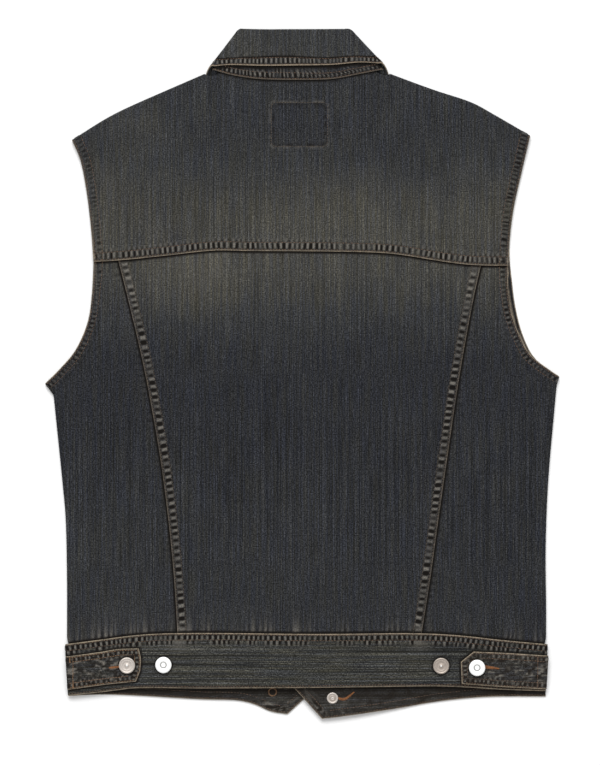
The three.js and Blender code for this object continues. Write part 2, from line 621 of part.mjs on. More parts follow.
// A shank button: a foot on the cloth, a neck and a dished cap.
function buttonGeometry() {
  const profile = [
    [0, 0], [4.2, 0], [4.2, 0.5], [2.6, 0.9], [2.6, 1.5], [BUTTON_RADIUS, 1.9], [BUTTON_RADIUS, 3.1],
    [7.4, BUTTON_HEIGHT], [2.4, 3.1], [0, 3.3],
  ];
  const geometry = new THREE.LatheGeometry(profile.map(([r, h]) => new THREE.Vector2(r, h)), BUTTON_SIDES);
  return geometry.rotateX(Math.PI / 2);
}

function addButtons() {
  const tabFace = movedOut(bandFace, 2 * GAP + BAND);
  const loose = movedOut(bandFace, GAP);
  for (const { name, x, y, on } of BACK_BUTTONS) {
    const { point } = (on === "tab" ? tabFace : loose)(x, y);
    add(name, buttonGeometry(), "metal").position.copy(point);
  }
  const faceDown = (name, x, y) => {
    const button = add(name, buttonGeometry(), "metal");
    button.rotation.x = Math.PI;
    button.position.set(x, y, BUTTON_HEIGHT);
  };
  FRONT_BUTTONS.forEach((y, i) => faceDown(`button_front_${i + 1}`, BUTTON_COLUMN, y));
  faceDown("button_front_6", WAIST_BUTTON.x, WAIST_BUTTON.y);
  const tack = [[0, 0], [5.9, 0], [5.9, 0.5], [5, 1.1], [2, 0.8], [0, 1]];
  const head = new THREE.LatheGeometry(tack.map(([r, h]) => new THREE.Vector2(r, h)), BUTTON_SIDES);
  const top = bandRest.right(WAIST_BUTTON.x) + BAND + GAP;
  add("tack_head", head.rotateX(Math.PI / 2), "metal").position.set(WAIST_BUTTON.x, WAIST_BUTTON.y, top);
}

addYoke();
addBackPanels();
addWaistbands();
addFronts();
addCollar();
addTabs();
addButtons();

export default vest;
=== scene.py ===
# A denim vest laid flat on its front: fine cloth shells over its solids, with stitching and buttons.
#
# The tables and heights below are millimetres and match the solids. Meshes are made in metres.
import math

import bpy
import numpy as np
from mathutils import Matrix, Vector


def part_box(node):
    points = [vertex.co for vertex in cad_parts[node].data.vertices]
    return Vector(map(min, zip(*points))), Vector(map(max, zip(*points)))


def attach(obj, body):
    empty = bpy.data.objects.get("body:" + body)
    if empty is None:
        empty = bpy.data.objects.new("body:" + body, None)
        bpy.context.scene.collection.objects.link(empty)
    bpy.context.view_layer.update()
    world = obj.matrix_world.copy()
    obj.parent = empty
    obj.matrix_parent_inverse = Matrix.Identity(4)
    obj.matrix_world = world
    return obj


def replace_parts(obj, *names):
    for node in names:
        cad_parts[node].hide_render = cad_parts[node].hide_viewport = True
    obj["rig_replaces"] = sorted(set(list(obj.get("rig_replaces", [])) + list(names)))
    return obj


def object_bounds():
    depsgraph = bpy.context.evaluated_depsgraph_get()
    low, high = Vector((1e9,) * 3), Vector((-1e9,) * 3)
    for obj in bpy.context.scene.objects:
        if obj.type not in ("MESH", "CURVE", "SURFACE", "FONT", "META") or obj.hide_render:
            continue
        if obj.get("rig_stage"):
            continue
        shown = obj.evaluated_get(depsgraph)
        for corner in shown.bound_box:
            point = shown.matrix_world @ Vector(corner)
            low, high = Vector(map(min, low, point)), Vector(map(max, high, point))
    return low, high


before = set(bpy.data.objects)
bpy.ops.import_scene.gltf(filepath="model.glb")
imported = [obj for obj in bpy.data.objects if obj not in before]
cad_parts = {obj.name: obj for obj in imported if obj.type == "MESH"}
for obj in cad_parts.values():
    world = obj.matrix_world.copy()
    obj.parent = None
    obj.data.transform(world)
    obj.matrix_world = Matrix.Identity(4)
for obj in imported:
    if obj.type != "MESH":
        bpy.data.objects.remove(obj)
cad_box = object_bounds()

MM = 0.001

# Cloth and seams
PLY = 1.0
BAND = 2.0
ARMHOLE_HEM = 2.0
COLLAR_CLOTH = 1.4
GAP = 0.3
LIFT = PLY + GAP
SLACK = 0.1
FELL = 11.4
TUCK = 9.5
SLOPE = 3
EASE = 2
HEM_WIDTH = 10.4
BUTTON_LIFT = 3.9
FRONT_EDGE = 8
PLACKET_WIDTH = 38
FRONT_NECK = 236
WAIST_SEAM = -281
BACK_REST = 1.7
SIDE_LOFT = 2.2
COLLAR_LOFT = 3.4
RIDGE_LOFT = 4.8
HEM_LOFT = 2.0
ARMHOLE_LOFT = 0.8
SIDES = ["left", "right"]
WAY = {"left": -1, "right": 1}
PLACKET_FOOT = -278.6

# Distances of the two rows of stitches from the edge of each seam or hem
ROWS = {
    "yoke": (1.7, 9.0), "princess": (1.6, 9.0), "waist": (1.6, 7.0), "tab": (1.7, 6.4), "placket": (1.9, 7.5),
    "band": (1.8, 8), "leaf": (1.6, 8.6), "stand": (1.4, 7.6),
}
STITCH_LENGTH = 2.35
STITCH_RADIUS = 0.27
SATIN_PITCH = 0.5
UNDERSIDE_LIFT = -0.24

# Outlines as rows of x, y
SHOULDER = {
    "left": [[-101.5, 311.5], [-140, 295], [-197, 269], [-239.5, 243]],
    "right": [[91.5, 311.5], [137, 295], [177, 281.5], [200, 269], [237, 247.5]],
}
ARMHOLE_BACK = {
    "left": [
        [-239.5, 243], [-231, 223], [-224, 187.5], [-219.5, 149.5], [-216.5, 118], [-219, 79.5],
        [-223, 54], [-235.5, 25], [-251.5, 5.5], [-267.5, -10.5],
    ],
    "right": [
        [237, 247.5], [228.5, 211], [219.5, 170], [215, 131.5], [213.5, 108], [214.5, 85],
        [218, 62], [224.5, 43], [236, 21], [257, 4], [267.5, -3],
    ],
}
ARMHOLE_FRONT = {
    "left": ARMHOLE_BACK["left"],
    "right": [
        [237, 247.5], [228.5, 211], [219.5, 170], [215.5, 127], [218, 96.5], [221.5, 70],
        [229, 41], [241, 17], [257, 4], [267.5, -3],
    ],
}
SIDE = {
    "left": [
        [[-267.5, -10.5], [-258.5, -22]],
        [[-258.5, -22], [-249, -115], [-246, -149], [-244.5, -216], [-244.5, -274]],
    ],
    "right": [
        [[267.5, -3], [264.5, -11.5]],
        [[264.5, -11.5], [262, -38], [255.5, -114], [253, -181], [253.5, -245], [253.5, -274]],
    ],
}
TUCK_END = {"left": [-241, -291], "right": [249.5, -291]}
YOKE_SEAM = [
    [-217, 116], [-187.5, 118], [-143.5, 122.5], [-91, 128], [-56, 127.5], [69, 126],
    [98, 124], [150, 116], [177, 113], [214, 112],
]
YOKE_NECK = [
    [-101.5, 311.5], [-97.5, 309.5], [-91.5, 309.2], [-83, 313.5], [-70, 315.5], [-35, 313.5], [-2, 313],
    [33, 314], [60, 317], [73, 315.5], [82, 310.8], [87, 310], [91.5, 311.5],
]
PRINCESS = {
    "left": [[-193.5, 126], [-183, 85.5], [-167, 18], [-156, -38], [-145, -105], [-134.5, -197], [-129, -280]],
    "right": [[188, 123], [179, 83], [164, 1.5], [150, -92], [140.5, -158.5], [133.5, -209.5], [122.5, -280]],
}
WAIST_TOP = [
    [-246.5, -281], [-208.5, -276], [-173, -271.5], [-137, -269.5], [18.5, -270], [121.5, -269.5],
    [166, -272], [202, -276], [255, -281],
]
WAIST_BOTTOM = [
    [-243.5, -334.5], [-211, -331], [-191, -328.5], [-174, -326.6], [-101, -326.8], [-2, -326],
    [143, -324.6], [167, -325.5], [207, -328], [253, -329.5],
]
WAIST_SIDE = {
    "left": [[-246.5, -281], [-245.5, -305], [-243.5, -334.5]],
    "right": [[255, -281], [254, -305], [253, -329.5]],
}
FRONT_HEM = {
    "left": [
        [-243.5, -335], [-203, -333.5], [-105, -338.5], [-65, -340], [-49, -344], [-33, -351], [-15.5, -354],
    ],
    "right": [[253, -335.5], [191, -336], [143, -340.5], [95, -348.5], [35, -357], [20.5, -358.5]],
}
WAIST_POINT = {"left": [13, -328], "right": [-12.5, -322]}
TAB = {
    "left": {
        "root": [[-244.5, -293.5], [-242.5, -328]],
        "top": [[-244.5, -293.5], [-211, -289], [-191, -285.8], [-169.6, -285]],
        "tip": [[[-169.6, -285], [-167.4, -297], [-168.3, -309]], [[-168.3, -309], [-172.6, -319.5]]],
        "bottom": [[-242.5, -328], [-204, -322.7], [-172.6, -319.5]],
    },
    "right": {
        "root": [[253.8, -292.5], [252, -327.5]],
        "top": [[253.8, -292.5], [215, -290], [177.8, -288.4]],
        "tip": [[[177.8, -288.4], [164.6, -299]], [[164.6, -299], [165.5, -322]]],
        "bottom": [[252, -327.5], [207, -325], [165.5, -322]],
    },
}
COLLAR_HEIGHT = 4.9
STAND_OUT = 2.2
LEAF_OUT = 4.2
COLLAR_TOP = 358.1
COLLAR_BACK = {
    "neck": [[-91.5, 315.2], [-76, 310.8], [-49, 306.3], [-2, 305], [33, 306.2], [60, 311.2], [82, 315.5]],
    "roll": [[-61.5, 356.5], [-30, 355.9], [-2, 356.2], [45.5, 356.5]],
    "leaf": [[-92, 319], [-77, 320.3], [-42, 319.5], [-2, 319.9], [32, 320.6], [60, 323], [80.5, 322]],
}
COLLAR_FRONT = {
    "left": {
        "neck": [[-93, 306], [-88, 284], [-62, 250], [-40, 236], [-19, 230]],
        "roll": [[-61.5, 356.5], [-50, 310], [-32, 265], [-20, 240]],
        "leaf": [[-99, 303], [-99, 250], [-66, 190]],
        "out": [-0.788, 0.615],
    },
    "right": {
        "neck": [[84, 307], [79, 284], [57, 250], [38, 236], [19, 230]],
        "roll": [[45.5, 356.5], [40, 310], [28, 265], [20, 240]],
        "leaf": [[89, 304], [91, 250], [62, 190]],
        "out": [0.743, 0.67],
    },
}
COLLAR_ZONE = [[-101, 313], [-100, 250], [-66, 190], [62, 190], [94, 250], [91, 313], [49, 358], [-65, 358]]


# Lines, steps and noise

def step(low, high, value):
    """0 below low, 1 above high, and smooth between."""
    part = np.clip((value - low) / (high - low), 0, 1)
    return part * part * (3 - 2 * part)


def largest(*rises):
    """The largest of several rises, with the corners between them eased."""
    return sum(np.maximum(rise, 0) ** 8 for rise in rises) ** 0.125


def wobble(place, pitch, seed):
    """Random values from -1 to 1 that change smoothly over about pitch."""
    values = np.random.default_rng(seed).uniform(-1, 1, 1024)
    place = np.asarray(place) / pitch + 300
    low = np.floor(place).astype(int)
    part = step(0, 1, place - low)
    return values[low % 1024] * (1 - part) + values[(low + 1) % 1024] * part


def mottle(x, y, pitch, seed):
    """The same over a surface."""
    values = np.random.default_rng(seed).uniform(-1, 1, (64, 64))
    across = np.asarray(x) / pitch + 640
    up = np.asarray(y) / pitch + 640
    i = np.floor(across).astype(int)
    j = np.floor(up).astype(int)
    u = step(0, 1, across - i)
    v = step(0, 1, up - j)
    corner = lambda a, b: values[(i + a) % 64, (j + b) % 64]
    low = corner(0, 0) * (1 - u) + corner(1, 0) * u
    high = corner(0, 1) * (1 - u) + corner(1, 1) * u
    return low * (1 - v) + high * v


def bell(distance, width):
    return np.exp(-((distance / width) ** 2))


def ripple(beat):
    """A wave from 0 to 1, with a crest at every whole beat."""
    return 0.5 + 0.5 * np.cos(2 * np.pi * beat)


def curve(stretch, steps=10):
    """A centripetal Catmull-Rom curve through the corners of a stretch."""
    corners = np.array(stretch, float)
    if len(corners) == 2:
        return corners
    ends = [2 * corners[0] - corners[1], *corners, 2 * corners[-1] - corners[-2]]
    rows = []
    for k in range(len(corners) - 1):
        a, b, c, d = ends[k : k + 4]
        first, middle, last = (np.sum((q - p) ** 2) ** 0.25 for p, q in ((a, b), (b, c), (c, d)))
        leave = ((b - a) / first - (c - a) / (first + middle) + (c - b) / middle) * middle
        reach = ((c - b) / middle - (d - b) / (middle + last) + (d - c) / last) * middle
        t = np.arange(steps)[:, None] / steps
        square = (3 * (c - b) - 2 * leave - reach) * t**2
        rows.append(b + leave * t + square + (2 * (b - c) + leave + reach) * t**3)
    return np.vstack([*rows, corners[-1:]])


class Line:
    """A line across or along the cloth: smooth stretches that meet in corners."""

    def __init__(self, *stretches):
        points = np.vstack([curve(stretch) for stretch in stretches])
        gaps = np.hypot(*np.diff(points, axis=0).T)
        self.points = points[np.r_[True, gaps > 1e-6]]
        self.spans = np.diff(self.points, axis=0)
        self.lengths = np.hypot(*self.spans.T)
        self.places = np.r_[0, np.cumsum(self.lengths)]
        self.length = self.places[-1]

    def where(self, axis, value):
        """The other coordinate at a value of x (axis 0) or of y (axis 1)."""
        order = slice(None, None, 1 if self.points[-1, axis] > self.points[0, axis] else -1)
        return np.interp(value, self.points[order, axis], self.points[order, 1 - axis])

    def share(self, share, axis):
        """The other coordinate at a share of the way along an axis."""
        first, last = self.points[0, axis], self.points[-1, axis]
        return self.where(axis, first + (last - first) * share)

    def at(self, share):
        """The point at a share of the corners."""
        place = share * (len(self.points) - 1)
        index = np.arange(len(self.points))
        return np.array([np.interp(place, index, self.points[:, 0]), np.interp(place, index, self.points[:, 1])])

    def nearest(self, x, y):
        """The distance from x, y, the place along the line and the line's normal there."""
        where = np.column_stack([np.ravel(x), np.ravel(y)])
        found = np.empty((len(where), 4))
        for start in range(0, len(where), 20000):
            reach = where[start : start + 20000, None] - self.points[None, :-1]
            part = np.clip((reach * self.spans).sum(2) / self.lengths**2, 0, 1)
            square = ((reach - part[..., None] * self.spans) ** 2).sum(2)
            best = square.argmin(1)
            pick = np.arange(len(best))
            rows = found[start : start + 20000]
            rows[:, 0] = np.sqrt(square[pick, best])
            rows[:, 1] = self.places[best] + part[pick, best] * self.lengths[best]
            rows[:, 2] = self.spans[best, 1] / self.lengths[best]
            rows[:, 3] = -self.spans[best, 0] / self.lengths[best]
        return found.T.reshape(4, *np.shape(x))

    def row(self, inset, pitch=3.0, trim=(2, 2)):
        """Points a pitch apart beside the line, inset to its left where that is positive.

        The inset is a number, or a function of y.
        """
        place = np.arange(trim[0], self.length - trim[1], pitch)
        x = np.interp(place, self.places, self.points[:, 0])
        y = np.interp(place, self.places, self.points[:, 1])
        ahead = np.clip(place + 0.8, 0, self.length)
        behind = np.clip(place - 0.8, 0, self.length)
        dx = np.interp(ahead, self.places, self.points[:, 0]) - np.interp(behind, self.places, self.points[:, 0])
        dy = np.interp(ahead, self.places, self.points[:, 1]) - np.interp(behind, self.places, self.points[:, 1])
        span = np.hypot(dx, dy)
        inset = inset(y) if callable(inset) else inset
        return np.column_stack([x - inset * dy / span, y + inset * dx / span])


def backward(points):
    return points[::-1]


def outside(polygon):
    """How far a point is outside a polygon, 0 inside it."""
    corners = list(zip(polygon, polygon[1:] + polygon[:1]))
    edge = Line(*corners)

    def distance(x, y):
        inside = np.zeros(np.shape(x), bool)
        for (x1, y1), (x2, y2) in corners:
            if y1 != y2:
                inside ^= ((y1 > y) != (y2 > y)) & (x < x1 + (y - y1) / (y2 - y1) * (x2 - x1))
        return np.where(inside, 0, edge.nearest(x, y)[0])

    return distance


def nearest_of(lines, x, y):
    found = [line.nearest(x, y) for line in lines]
    best = np.argmin([f[0] for f in found], axis=0)
    return np.choose(best, [f[0] for f in found]), *(np.choose(best, [f[k] for f in found]) for k in (1, 2, 3))


panel_side = {s: Line(*SIDE[s], [SIDE[s][1][-1], TUCK_END[s]]) for s in SIDES}
panel_folds = [*panel_side.values(), *(Line(SHOULDER[s]) for s in SIDES)]
band_folds = [Line(WAIST_SIDE[s]) for s in SIDES]
princess = {s: Line(PRINCESS[s]) for s in SIDES}
yoke_seam = Line(YOKE_SEAM)
waist_top = Line(WAIST_TOP)
waist_bottom = Line(WAIST_BOTTOM)
armhole_back = {s: Line(ARMHOLE_BACK[s]) for s in SIDES}
armhole_front = {s: Line(ARMHOLE_FRONT[s]) for s in SIDES}
armholes = [*armhole_back.values(), armhole_front["right"]]
from_collar = outside(COLLAR_ZONE)
neck_lines = [Line([*COLLAR_FRONT[s]["neck"], [WAY[s] * FRONT_EDGE, FRONT_NECK - 8]]) for s in SIDES]
from_leaf = [outside(COLLAR_FRONT[s]["roll"] + backward(COLLAR_FRONT[s]["leaf"])) for s in SIDES]


# Heights at which each layer rests, as in the solids

def right_lift(x):
    """How far the buttons lift the right front."""
    return BUTTON_LIFT * (1 - step(48, 130, x))


def button_lift(x):
    return np.where(x < 0, 0, right_lift(x))


def front_rest(x, y):
    in_placket = 1 - step(FRONT_EDGE + PLACKET_WIDTH, FRONT_EDGE + PLACKET_WIDTH + SLOPE, np.abs(x))
    over_band = (BAND + GAP) * (1 - step(WAIST_SEAM + 1, WAIST_SEAM + 10, y))
    over_placket = LIFT * in_placket
    by_leaf = 1 - step(8, 26, np.minimum(from_leaf[0](x, y), from_leaf[1](x, y)))
    over_leaf = by_leaf * (COLLAR_CLOTH + 2 * GAP + over_placket)
    stand = COLLAR_HEIGHT - STAND_OUT + COLLAR_CLOTH / 2 + 1.5 * GAP
    over_stand = stand * (1 - step(8.5, 16, nearest_of(neck_lines, x, y)[0]))
    return largest(largest(over_placket, over_band) + button_lift(x), over_leaf, over_stand)


def back_rest(x, y):
    on_ridge = step(-88, 4, x) * (1 - step(56, 145, x))
    ridge = RIDGE_LOFT * on_ridge * (1 - step(258, 312, y))
    hem = HEM_LOFT * (1 - on_ridge / 2) * (1 - step(-272, -240, y))
    side = SIDE_LOFT * (1 - step(12, 45, nearest_of(panel_folds, x, y)[0]))
    armhole = ARMHOLE_LOFT * (1 - step(12, 40, nearest_of(armholes, x, y)[0]))
    collar = COLLAR_LOFT * (1 - step(0, 60, from_collar(x, y)))
    return BACK_REST + largest(ridge + hem, side, armhole, collar)


def seam_height(x, y):
    return (back_rest(x, y) + PLY + front_rest(x, y)) / 2


def hemmed(x, y):
    return PLY + (ARMHOLE_HEM - PLY) * (1 - step(HEM_WIDTH, HEM_WIDTH + SLOPE, nearest_of(armholes, x, y)[0]))


def in_strip(depth):
    return 1 - step(FELL, FELL + SLOPE, depth)


def from_princess(x, y):
    return np.minimum(x - princess["left"].where(1, y), princess["right"].where(1, y) - x)


def over_princess(x, y):
    depth = from_princess(x, y)
    return step(-SLOPE - EASE, -EASE, depth) * in_strip(depth - EASE)


def turned(x, y, folds, face, seam, up):
    """The outer face of a layer and the way out of the cloth. It turns through a quarter circle at a fold."""
    distance, _, nx, ny = nearest_of(folds, x, y)
    point = np.stack([x, y, face], -1)
    normal = np.zeros_like(point)
    normal[..., 2] = up
    near = distance < 14
    seams = seam(x[near], y[near])
    faces = face[near]
    radius = np.abs(faces - seams)
    upright = np.clip(1 - distance[near] / radius, 0, 1)
    flat = np.sqrt(1 - upright**2)
    nx, ny = nx[near], ny[near]
    outward = np.where(nx * x[near] + ny * (y[near] - 100) > 0, 1, -1)
    bent = upright > 0
    lowest = seams + up * GAP / 2
    point[near, 2] = np.where(bent, lowest + (faces - lowest) * flat, faces)
    normal[near] = np.stack([outward * nx * upright, outward * ny * upright, up * flat], -1)
    return point, normal


def back_face(rise, ply):
    def face(x, y):
        return turned(x, y, panel_folds, back_rest(x, y) + rise(x, y) + ply(x, y), seam_height, 1)

    return face


def front_face(x, y):
    return turned(x, y, panel_folds, front_rest(x, y), seam_height, -1)


def band_top(x, y):
    in_seam = in_strip(waist_top.where(0, x) - y)
    return back_rest(x, y) + LIFT + LIFT * over_princess(x, y) * in_seam + SLACK + BAND


def band_seam(x, y):
    return (back_rest(x, y) + LIFT + SLACK + BAND + button_lift(x)) / 2


def band_face(x, y):
    return turned(x, y, band_folds, band_top(x, y), band_seam, 1)


def front_band_face(side):
    def face(x, y):
        return turned(x, y, band_folds, 0 * x if side == "left" else right_lift(x), band_seam, -1)

    return face


def moved_out(face, distance):
    def moved(x, y):
        point, normal = face(x, y)
        return point + normal * distance, normal

    return moved


# What shows on the cloth: how far it swells, and how faded, worn, light at an edge or dark it is

ATTRIBUTES = ["fade", "worn", "edge", "shade"]


class Look:
    """swell lifts the outer face, crease moves both faces, and the rest colour the cloth from 0 to 1; shade is
    partly dark dye and partly painted shade and shadow.
    """

    def __init__(self, x, fade):
        for key in ("swell", "crease", *ATTRIBUTES):
            setattr(self, key, np.zeros(np.shape(x)))
        self.fade += fade

    def darken(self, amount):
        self.shade = np.maximum(self.shade, amount)

    def rub(self, amount):
        self.worn = np.maximum(self.worn, amount)

    def join(self, part, share):
        """Add a part's puckers, as far as share says."""
        self.swell += part.swell * share
        self.rub(part.worn * share)
        self.darken(part.shade * share)

    def strip(self, depth, place, seed, rows, pitch=6.5, height=0.5, down=False, light=1.0, dark=1.0,
              beyond=4.5, tail=1.0, worn_edge=1.0, base=0.05, spread=0.52):
        """A seam or hem: puckers between two rows of stitches, and weaker ones for a stretch beyond them.

        base is how worn it is all over, and spread how far across it the dark hollows reach.
        """
        low, high = rows
        beat = place / pitch + 0.32 * wobble(place, 3.0 * pitch, seed)
        beat = beat + 0.024 * depth * wobble(place, 3.4 * pitch, seed + 1)
        wave = ripple(beat)
        shifted = ripple(beat + 0.35 + 0.2 * wobble(place, 2 * pitch, seed + 4))
        strength = np.clip(0.98 + 0.55 * wobble(place, 1.2 * pitch, seed + 2), 0.32, 1.35)
        second = np.clip(0.6 + 0.7 * wobble(place, 1.1 * pitch, seed + 5), 0, 1.2) * tail
        between = step(low - 0.2, low + 0.9, depth) * (1 - step(high - 1.1, high + 0.2, depth))
        past = step(high, high + 1.0, depth) * (1 - step(high + 0.5 * beyond, high + 1.5 * beyond, depth))
        rows_at = bell(depth - low, 0.65) + bell(depth - high, 0.65)
        self.swell += height * strength * between * (wave - 1 if down else wave) - 0.14 * rows_at
        self.swell += 0.5 * height * second * past * (shifted - 1 if down else shifted)
        short = step(low + 0.1 * (high - low), low + 0.3 * (high - low), depth)
        high_spots = between * np.maximum(base, short * strength * step(0.5, 0.95, wave))
        high_spots = high_spots + 0.65 * past * second * step(0.5, 1, shifted)
        hollow = np.exp(-(((depth - 0.5 * (low + high)) / (spread * (high - low))) ** 4))
        # Dark hollows of the puckers and dark lines along the sunken rows of stitches: partly dark indigo, partly
        # painted shade.
        low_spots = 1.15 * between * strength * hollow * (1 - step(0.15, 0.68, wave))
        low_spots = low_spots + 0.8 * past * second * (1 - step(0.08, 0.55, shifted))
        self.rub(light * high_spots)
        self.darken(dark * np.maximum(low_spots, 0.5 * rows_at))
        self.edged(depth, place, seed + 3, worn_edge)

    def edged(self, depth, place, seed, light=1.0):
        """A folded edge worn light, with a painted shadow line just inside it."""
        worn = light * (1 - step(0.5, 1.15, depth)) * (0.9 + 0.3 * wobble(place, 5, seed))
        self.edge = np.maximum(self.edge, worn)
        self.darken(0.75 * bell(depth - 1.75, 0.5))

    def ripples(self, distance, place, seed, pitch=7.5, reach=5.0, height=0.3, light=0.5, dark=0.8):
        """Small puckers in the cloth beside a seam, and the seam's shadow on it."""
        wave = ripple(place / pitch + 0.7 * wobble(place, 2 * pitch, seed))
        strength = np.clip(0.5 + 0.8 * wobble(place, 1.6 * pitch, seed + 1), 0, 1.2)
        near = np.exp(-np.maximum(distance, 0) / reach) * (distance > 0)
        self.swell += height * strength * wave * near * step(0, 1.5, distance)
        self.rub(light * strength * wave**1.5 * near)
        # Painted shade in the puckers' troughs, and the lapping edge's painted shadow along the seam.
        self.darken(dark * strength * (1 - step(0.1, 0.6, wave)) * near)
        self.darken(1.04 * (1 - step(1.5, 3.3, np.maximum(distance, 0))) * (distance > -0.5))

    def creases(self, x, y, table):
        for stretch, width, height in table:
            line = Line(stretch)
            distance, place = line.nearest(x, y)[:2]
            ends = np.sin(np.pi * np.clip(place / line.length, 0.02, 0.98)) ** 0.7
            self.crease += height * ends * bell(distance, width)


# Main creases: the line of each, its width and its height
BACK_CREASES = [
    ([[-118, 100], [-132, 74], [-148, 38]], 9, 0.55),
    ([[-84, 112], [-80, 80], [-78, 44]], 7, 0.42),
    ([[-54, 108], [-56, 74], [-52, 38]], 6, 0.3),
    ([[-15, 92], [-17, 60], [-20, 22]], 6, 0.42),
    ([[36, 96], [44, 40], [40, -10]], 9, 0.3),
    ([[78, 78], [96, 30], [108, -30]], 8, 0.5),
    ([[112, 84], [122, 50], [140, 10]], 10, 0.55),
    ([[-206, 70], [-190, 30], [-196, -10]], 8, 0.45),
    ([[-236, -20], [-205, -52], [-196, -96]], 11, 0.55),
    ([[-240, -40], [-222, -110], [-226, -170]], 9, 0.35),
    ([[232, 0], [208, -30], [204, -78]], 9, 0.5),
    ([[246, -60], [230, -120], [228, -200]], 8, 0.35),
    ([[-120, -236], [-80, -244], [-40, -240]], 7, 0.42),
    ([[-232, -240], [-200, -252], [-160, -250]], 6, 0.4),
    ([[10, -228], [60, -250], [104, -246]], 8, 0.4),
    ([[150, -226], [190, -248], [236, -244]], 7, 0.42),
    ([[-60, -60], [-70, -120], [-62, -180]], 13, 0.35),
    ([[30, -90], [22, -140], [34, -200]], 14, 0.3),
    ([[84, -100], [92, -150], [80, -214]], 10, 0.28),
]
YOKE_CREASES = [
    ([[-205, 226], [-170, 214], [-128, 222]], 9, 0.4),
    ([[-206, 168], [-176, 172], [-140, 160]], 8, 0.45),
    ([[-100, 284], [-120, 250], [-118, 212]], 12, 0.4),
    ([[-64, 176], [-60, 156], [-62, 140]], 6, 0.4),
    ([[8, 196], [4, 168], [8, 142]], 8, 0.35),
    ([[58, 182], [62, 160], [58, 140]], 6, 0.4),
    ([[76, 288], [104, 252], [110, 206]], 12, 0.45),
    ([[206, 214], [176, 198], [140, 204]], 9, 0.4),
    ([[202, 160], [170, 164], [128, 150]], 8, 0.4),
]
FRONT_CREASES = [
    ([[-196, 60], [-150, 40], [-110, 54]], 10, 0.36),
    ([[-204, 130], [-160, 150], [-120, 146]], 9, 0.36),
    ([[-180, -60], [-150, -110], [-156, -180]], 12, 0.32),
    ([[-230, -220], [-170, -244], [-100, -238]], 9, 0.36),
    ([[-70, 120], [-76, 60], [-66, 0]], 10, 0.3),
    ([[198, 70], [160, 52], [112, 60]], 10, 0.36),
    ([[196, 150], [150, 160], [110, 138]], 9, 0.34),
    ([[170, -40], [150, -96], [160, -170]], 12, 0.32),
    ([[230, -214], [180, -240], [120, -230]], 9, 0.36),
    ([[84, 110], [92, 40], [82, -30]], 10, 0.3),
]


def body_fade(x, y):
    """How faded the cloth below the yoke is: most under the seam, least in the middle."""
    under_seam = (0.84 + 0.34 * bell(x + 108, 42) - 0.1 * step(160, 240, np.abs(x))) * step(0, 118, y)
    low = (0.17 - 0.11 * x / 250) * (1 - step(-190, -50, y))
    soft = 0.07 * mottle(x, y, 34, 5) + 0.05 * mottle(x, y, 13, 6)
    return np.clip(0.04 + under_seam + low + soft, 0, 1.15)


def yoke_fade(x, y):
    across = 0.70 - 0.2 * bell(x + 132, 45) - 0.18 * step(40, 180, x)
    lower = across * (1 - step(146, 262, y))
    shoulders = 0.32 * bell(x + 172, 55) * bell(y - 262, 45) + 0.1 * step(110, 200, x)
    soft = 0.07 * mottle(x, y, 34, 8) + 0.05 * mottle(x, y, 13, 9)
    return np.clip(0.27 + lower + shoulders + soft, 0, 1.15)


def hem_width(y):
    """How far the second row of stitches lies from the armhole: less beside the armpit."""
    return 7.4 + 2.6 * step(40, 180, y)


def by_armhole(look, x, y, lines, seed, down=False):
    distance, place = nearest_of(lines, x, y)[:2]
    low = 1 - step(30, 120, y)
    sharp = np.where(x > 0, 1.0, 0.72 + 0.28 * low)
    look.strip(distance, place + 40, seed, (2.4, hem_width(y)), 4.8, 0.34, down,
               light=0.5 * sharp - 0.24 + 0.25 * low, dark=0.85 * sharp, beyond=3, tail=0.7,
               worn_edge=0.5 + 0.3 * low)
    look.shade *= 1 - 0.75 * (x < 0) * (1 - low) * (1 - step(3.5, 6.5, distance)) * (distance < 8)


# The stitched rectangle on the yoke: its middle, half its size and the radius of its corners
LABEL = (-2.9, 258.8)
LABEL_HALF = (29.1, 22.8)
LABEL_CORNER = 4.5


def from_label(x, y):
    """Distance from the stitched rectangle, negative inside it."""
    dx = np.abs(x - LABEL[0]) - LABEL_HALF[0] + LABEL_CORNER
    dy = np.abs(y - LABEL[1]) - LABEL_HALF[1] + LABEL_CORNER
    return np.hypot(np.maximum(dx, 0), np.maximum(dy, 0)) + np.minimum(np.maximum(dx, dy), 0) - LABEL_CORNER


def yoke_look(x, y):
    look = Look(x, yoke_fade(x, y))
    look.creases(x, y, YOKE_CREASES)
    by_armhole(look, x, y, armhole_back.values(), 21)
    look.strip(*yoke_seam.nearest(x, y)[:2], 11, ROWS["yoke"], 5.6, light=1.15, beyond=3.5, tail=0.8,
               worn_edge=0.75)
    # Painted shadow of the collar's neck edge on the yoke
    neck = Line(COLLAR_BACK["neck"]).where(0, x) - y
    look.darken((1 - step(0.8, 2.6, np.maximum(neck, 0))) * (np.abs(x) < 92))
    away = from_label(x, y)
    inside = 1 - step(-1, 1, away)
    blotch = step(-0.5, 0.7, mottle(x, y, 3.0, 12))
    look.fade -= 0.12 * inside
    look.swell -= 0.12 * bell(away, 0.8)
    # A painted shadow line just inside the stitched rectangle, and worn lighter cloth just outside it
    look.darken(bell(np.abs(away) - 1.9, 1.3) * inside * (0.15 + 0.8 * blotch))
    look.rub(0.42 * bell(np.abs(away) - 1.2, 1.1) * (1 - inside) * blotch)
    return look


# Where the felled seams meet the waistband
CROSSINGS = [(-129, -266), (121, -267)]


def finish_panel(look, x, y, seed):
    """The waist seam's puckers on a back panel, with the waistband edge's painted shadow, and nothing where the yoke
    and the waistband cover it.
    """
    above = y - waist_top.where(0, x)
    look.ripples(above, x, seed, 5.6, 7, light=np.where(x < 20, 1.7, 0.9), dark=1.2)
    look.swell *= step(-1.2, 0.2, yoke_seam.where(0, x) - y) * step(-1.2, 0.2, above)


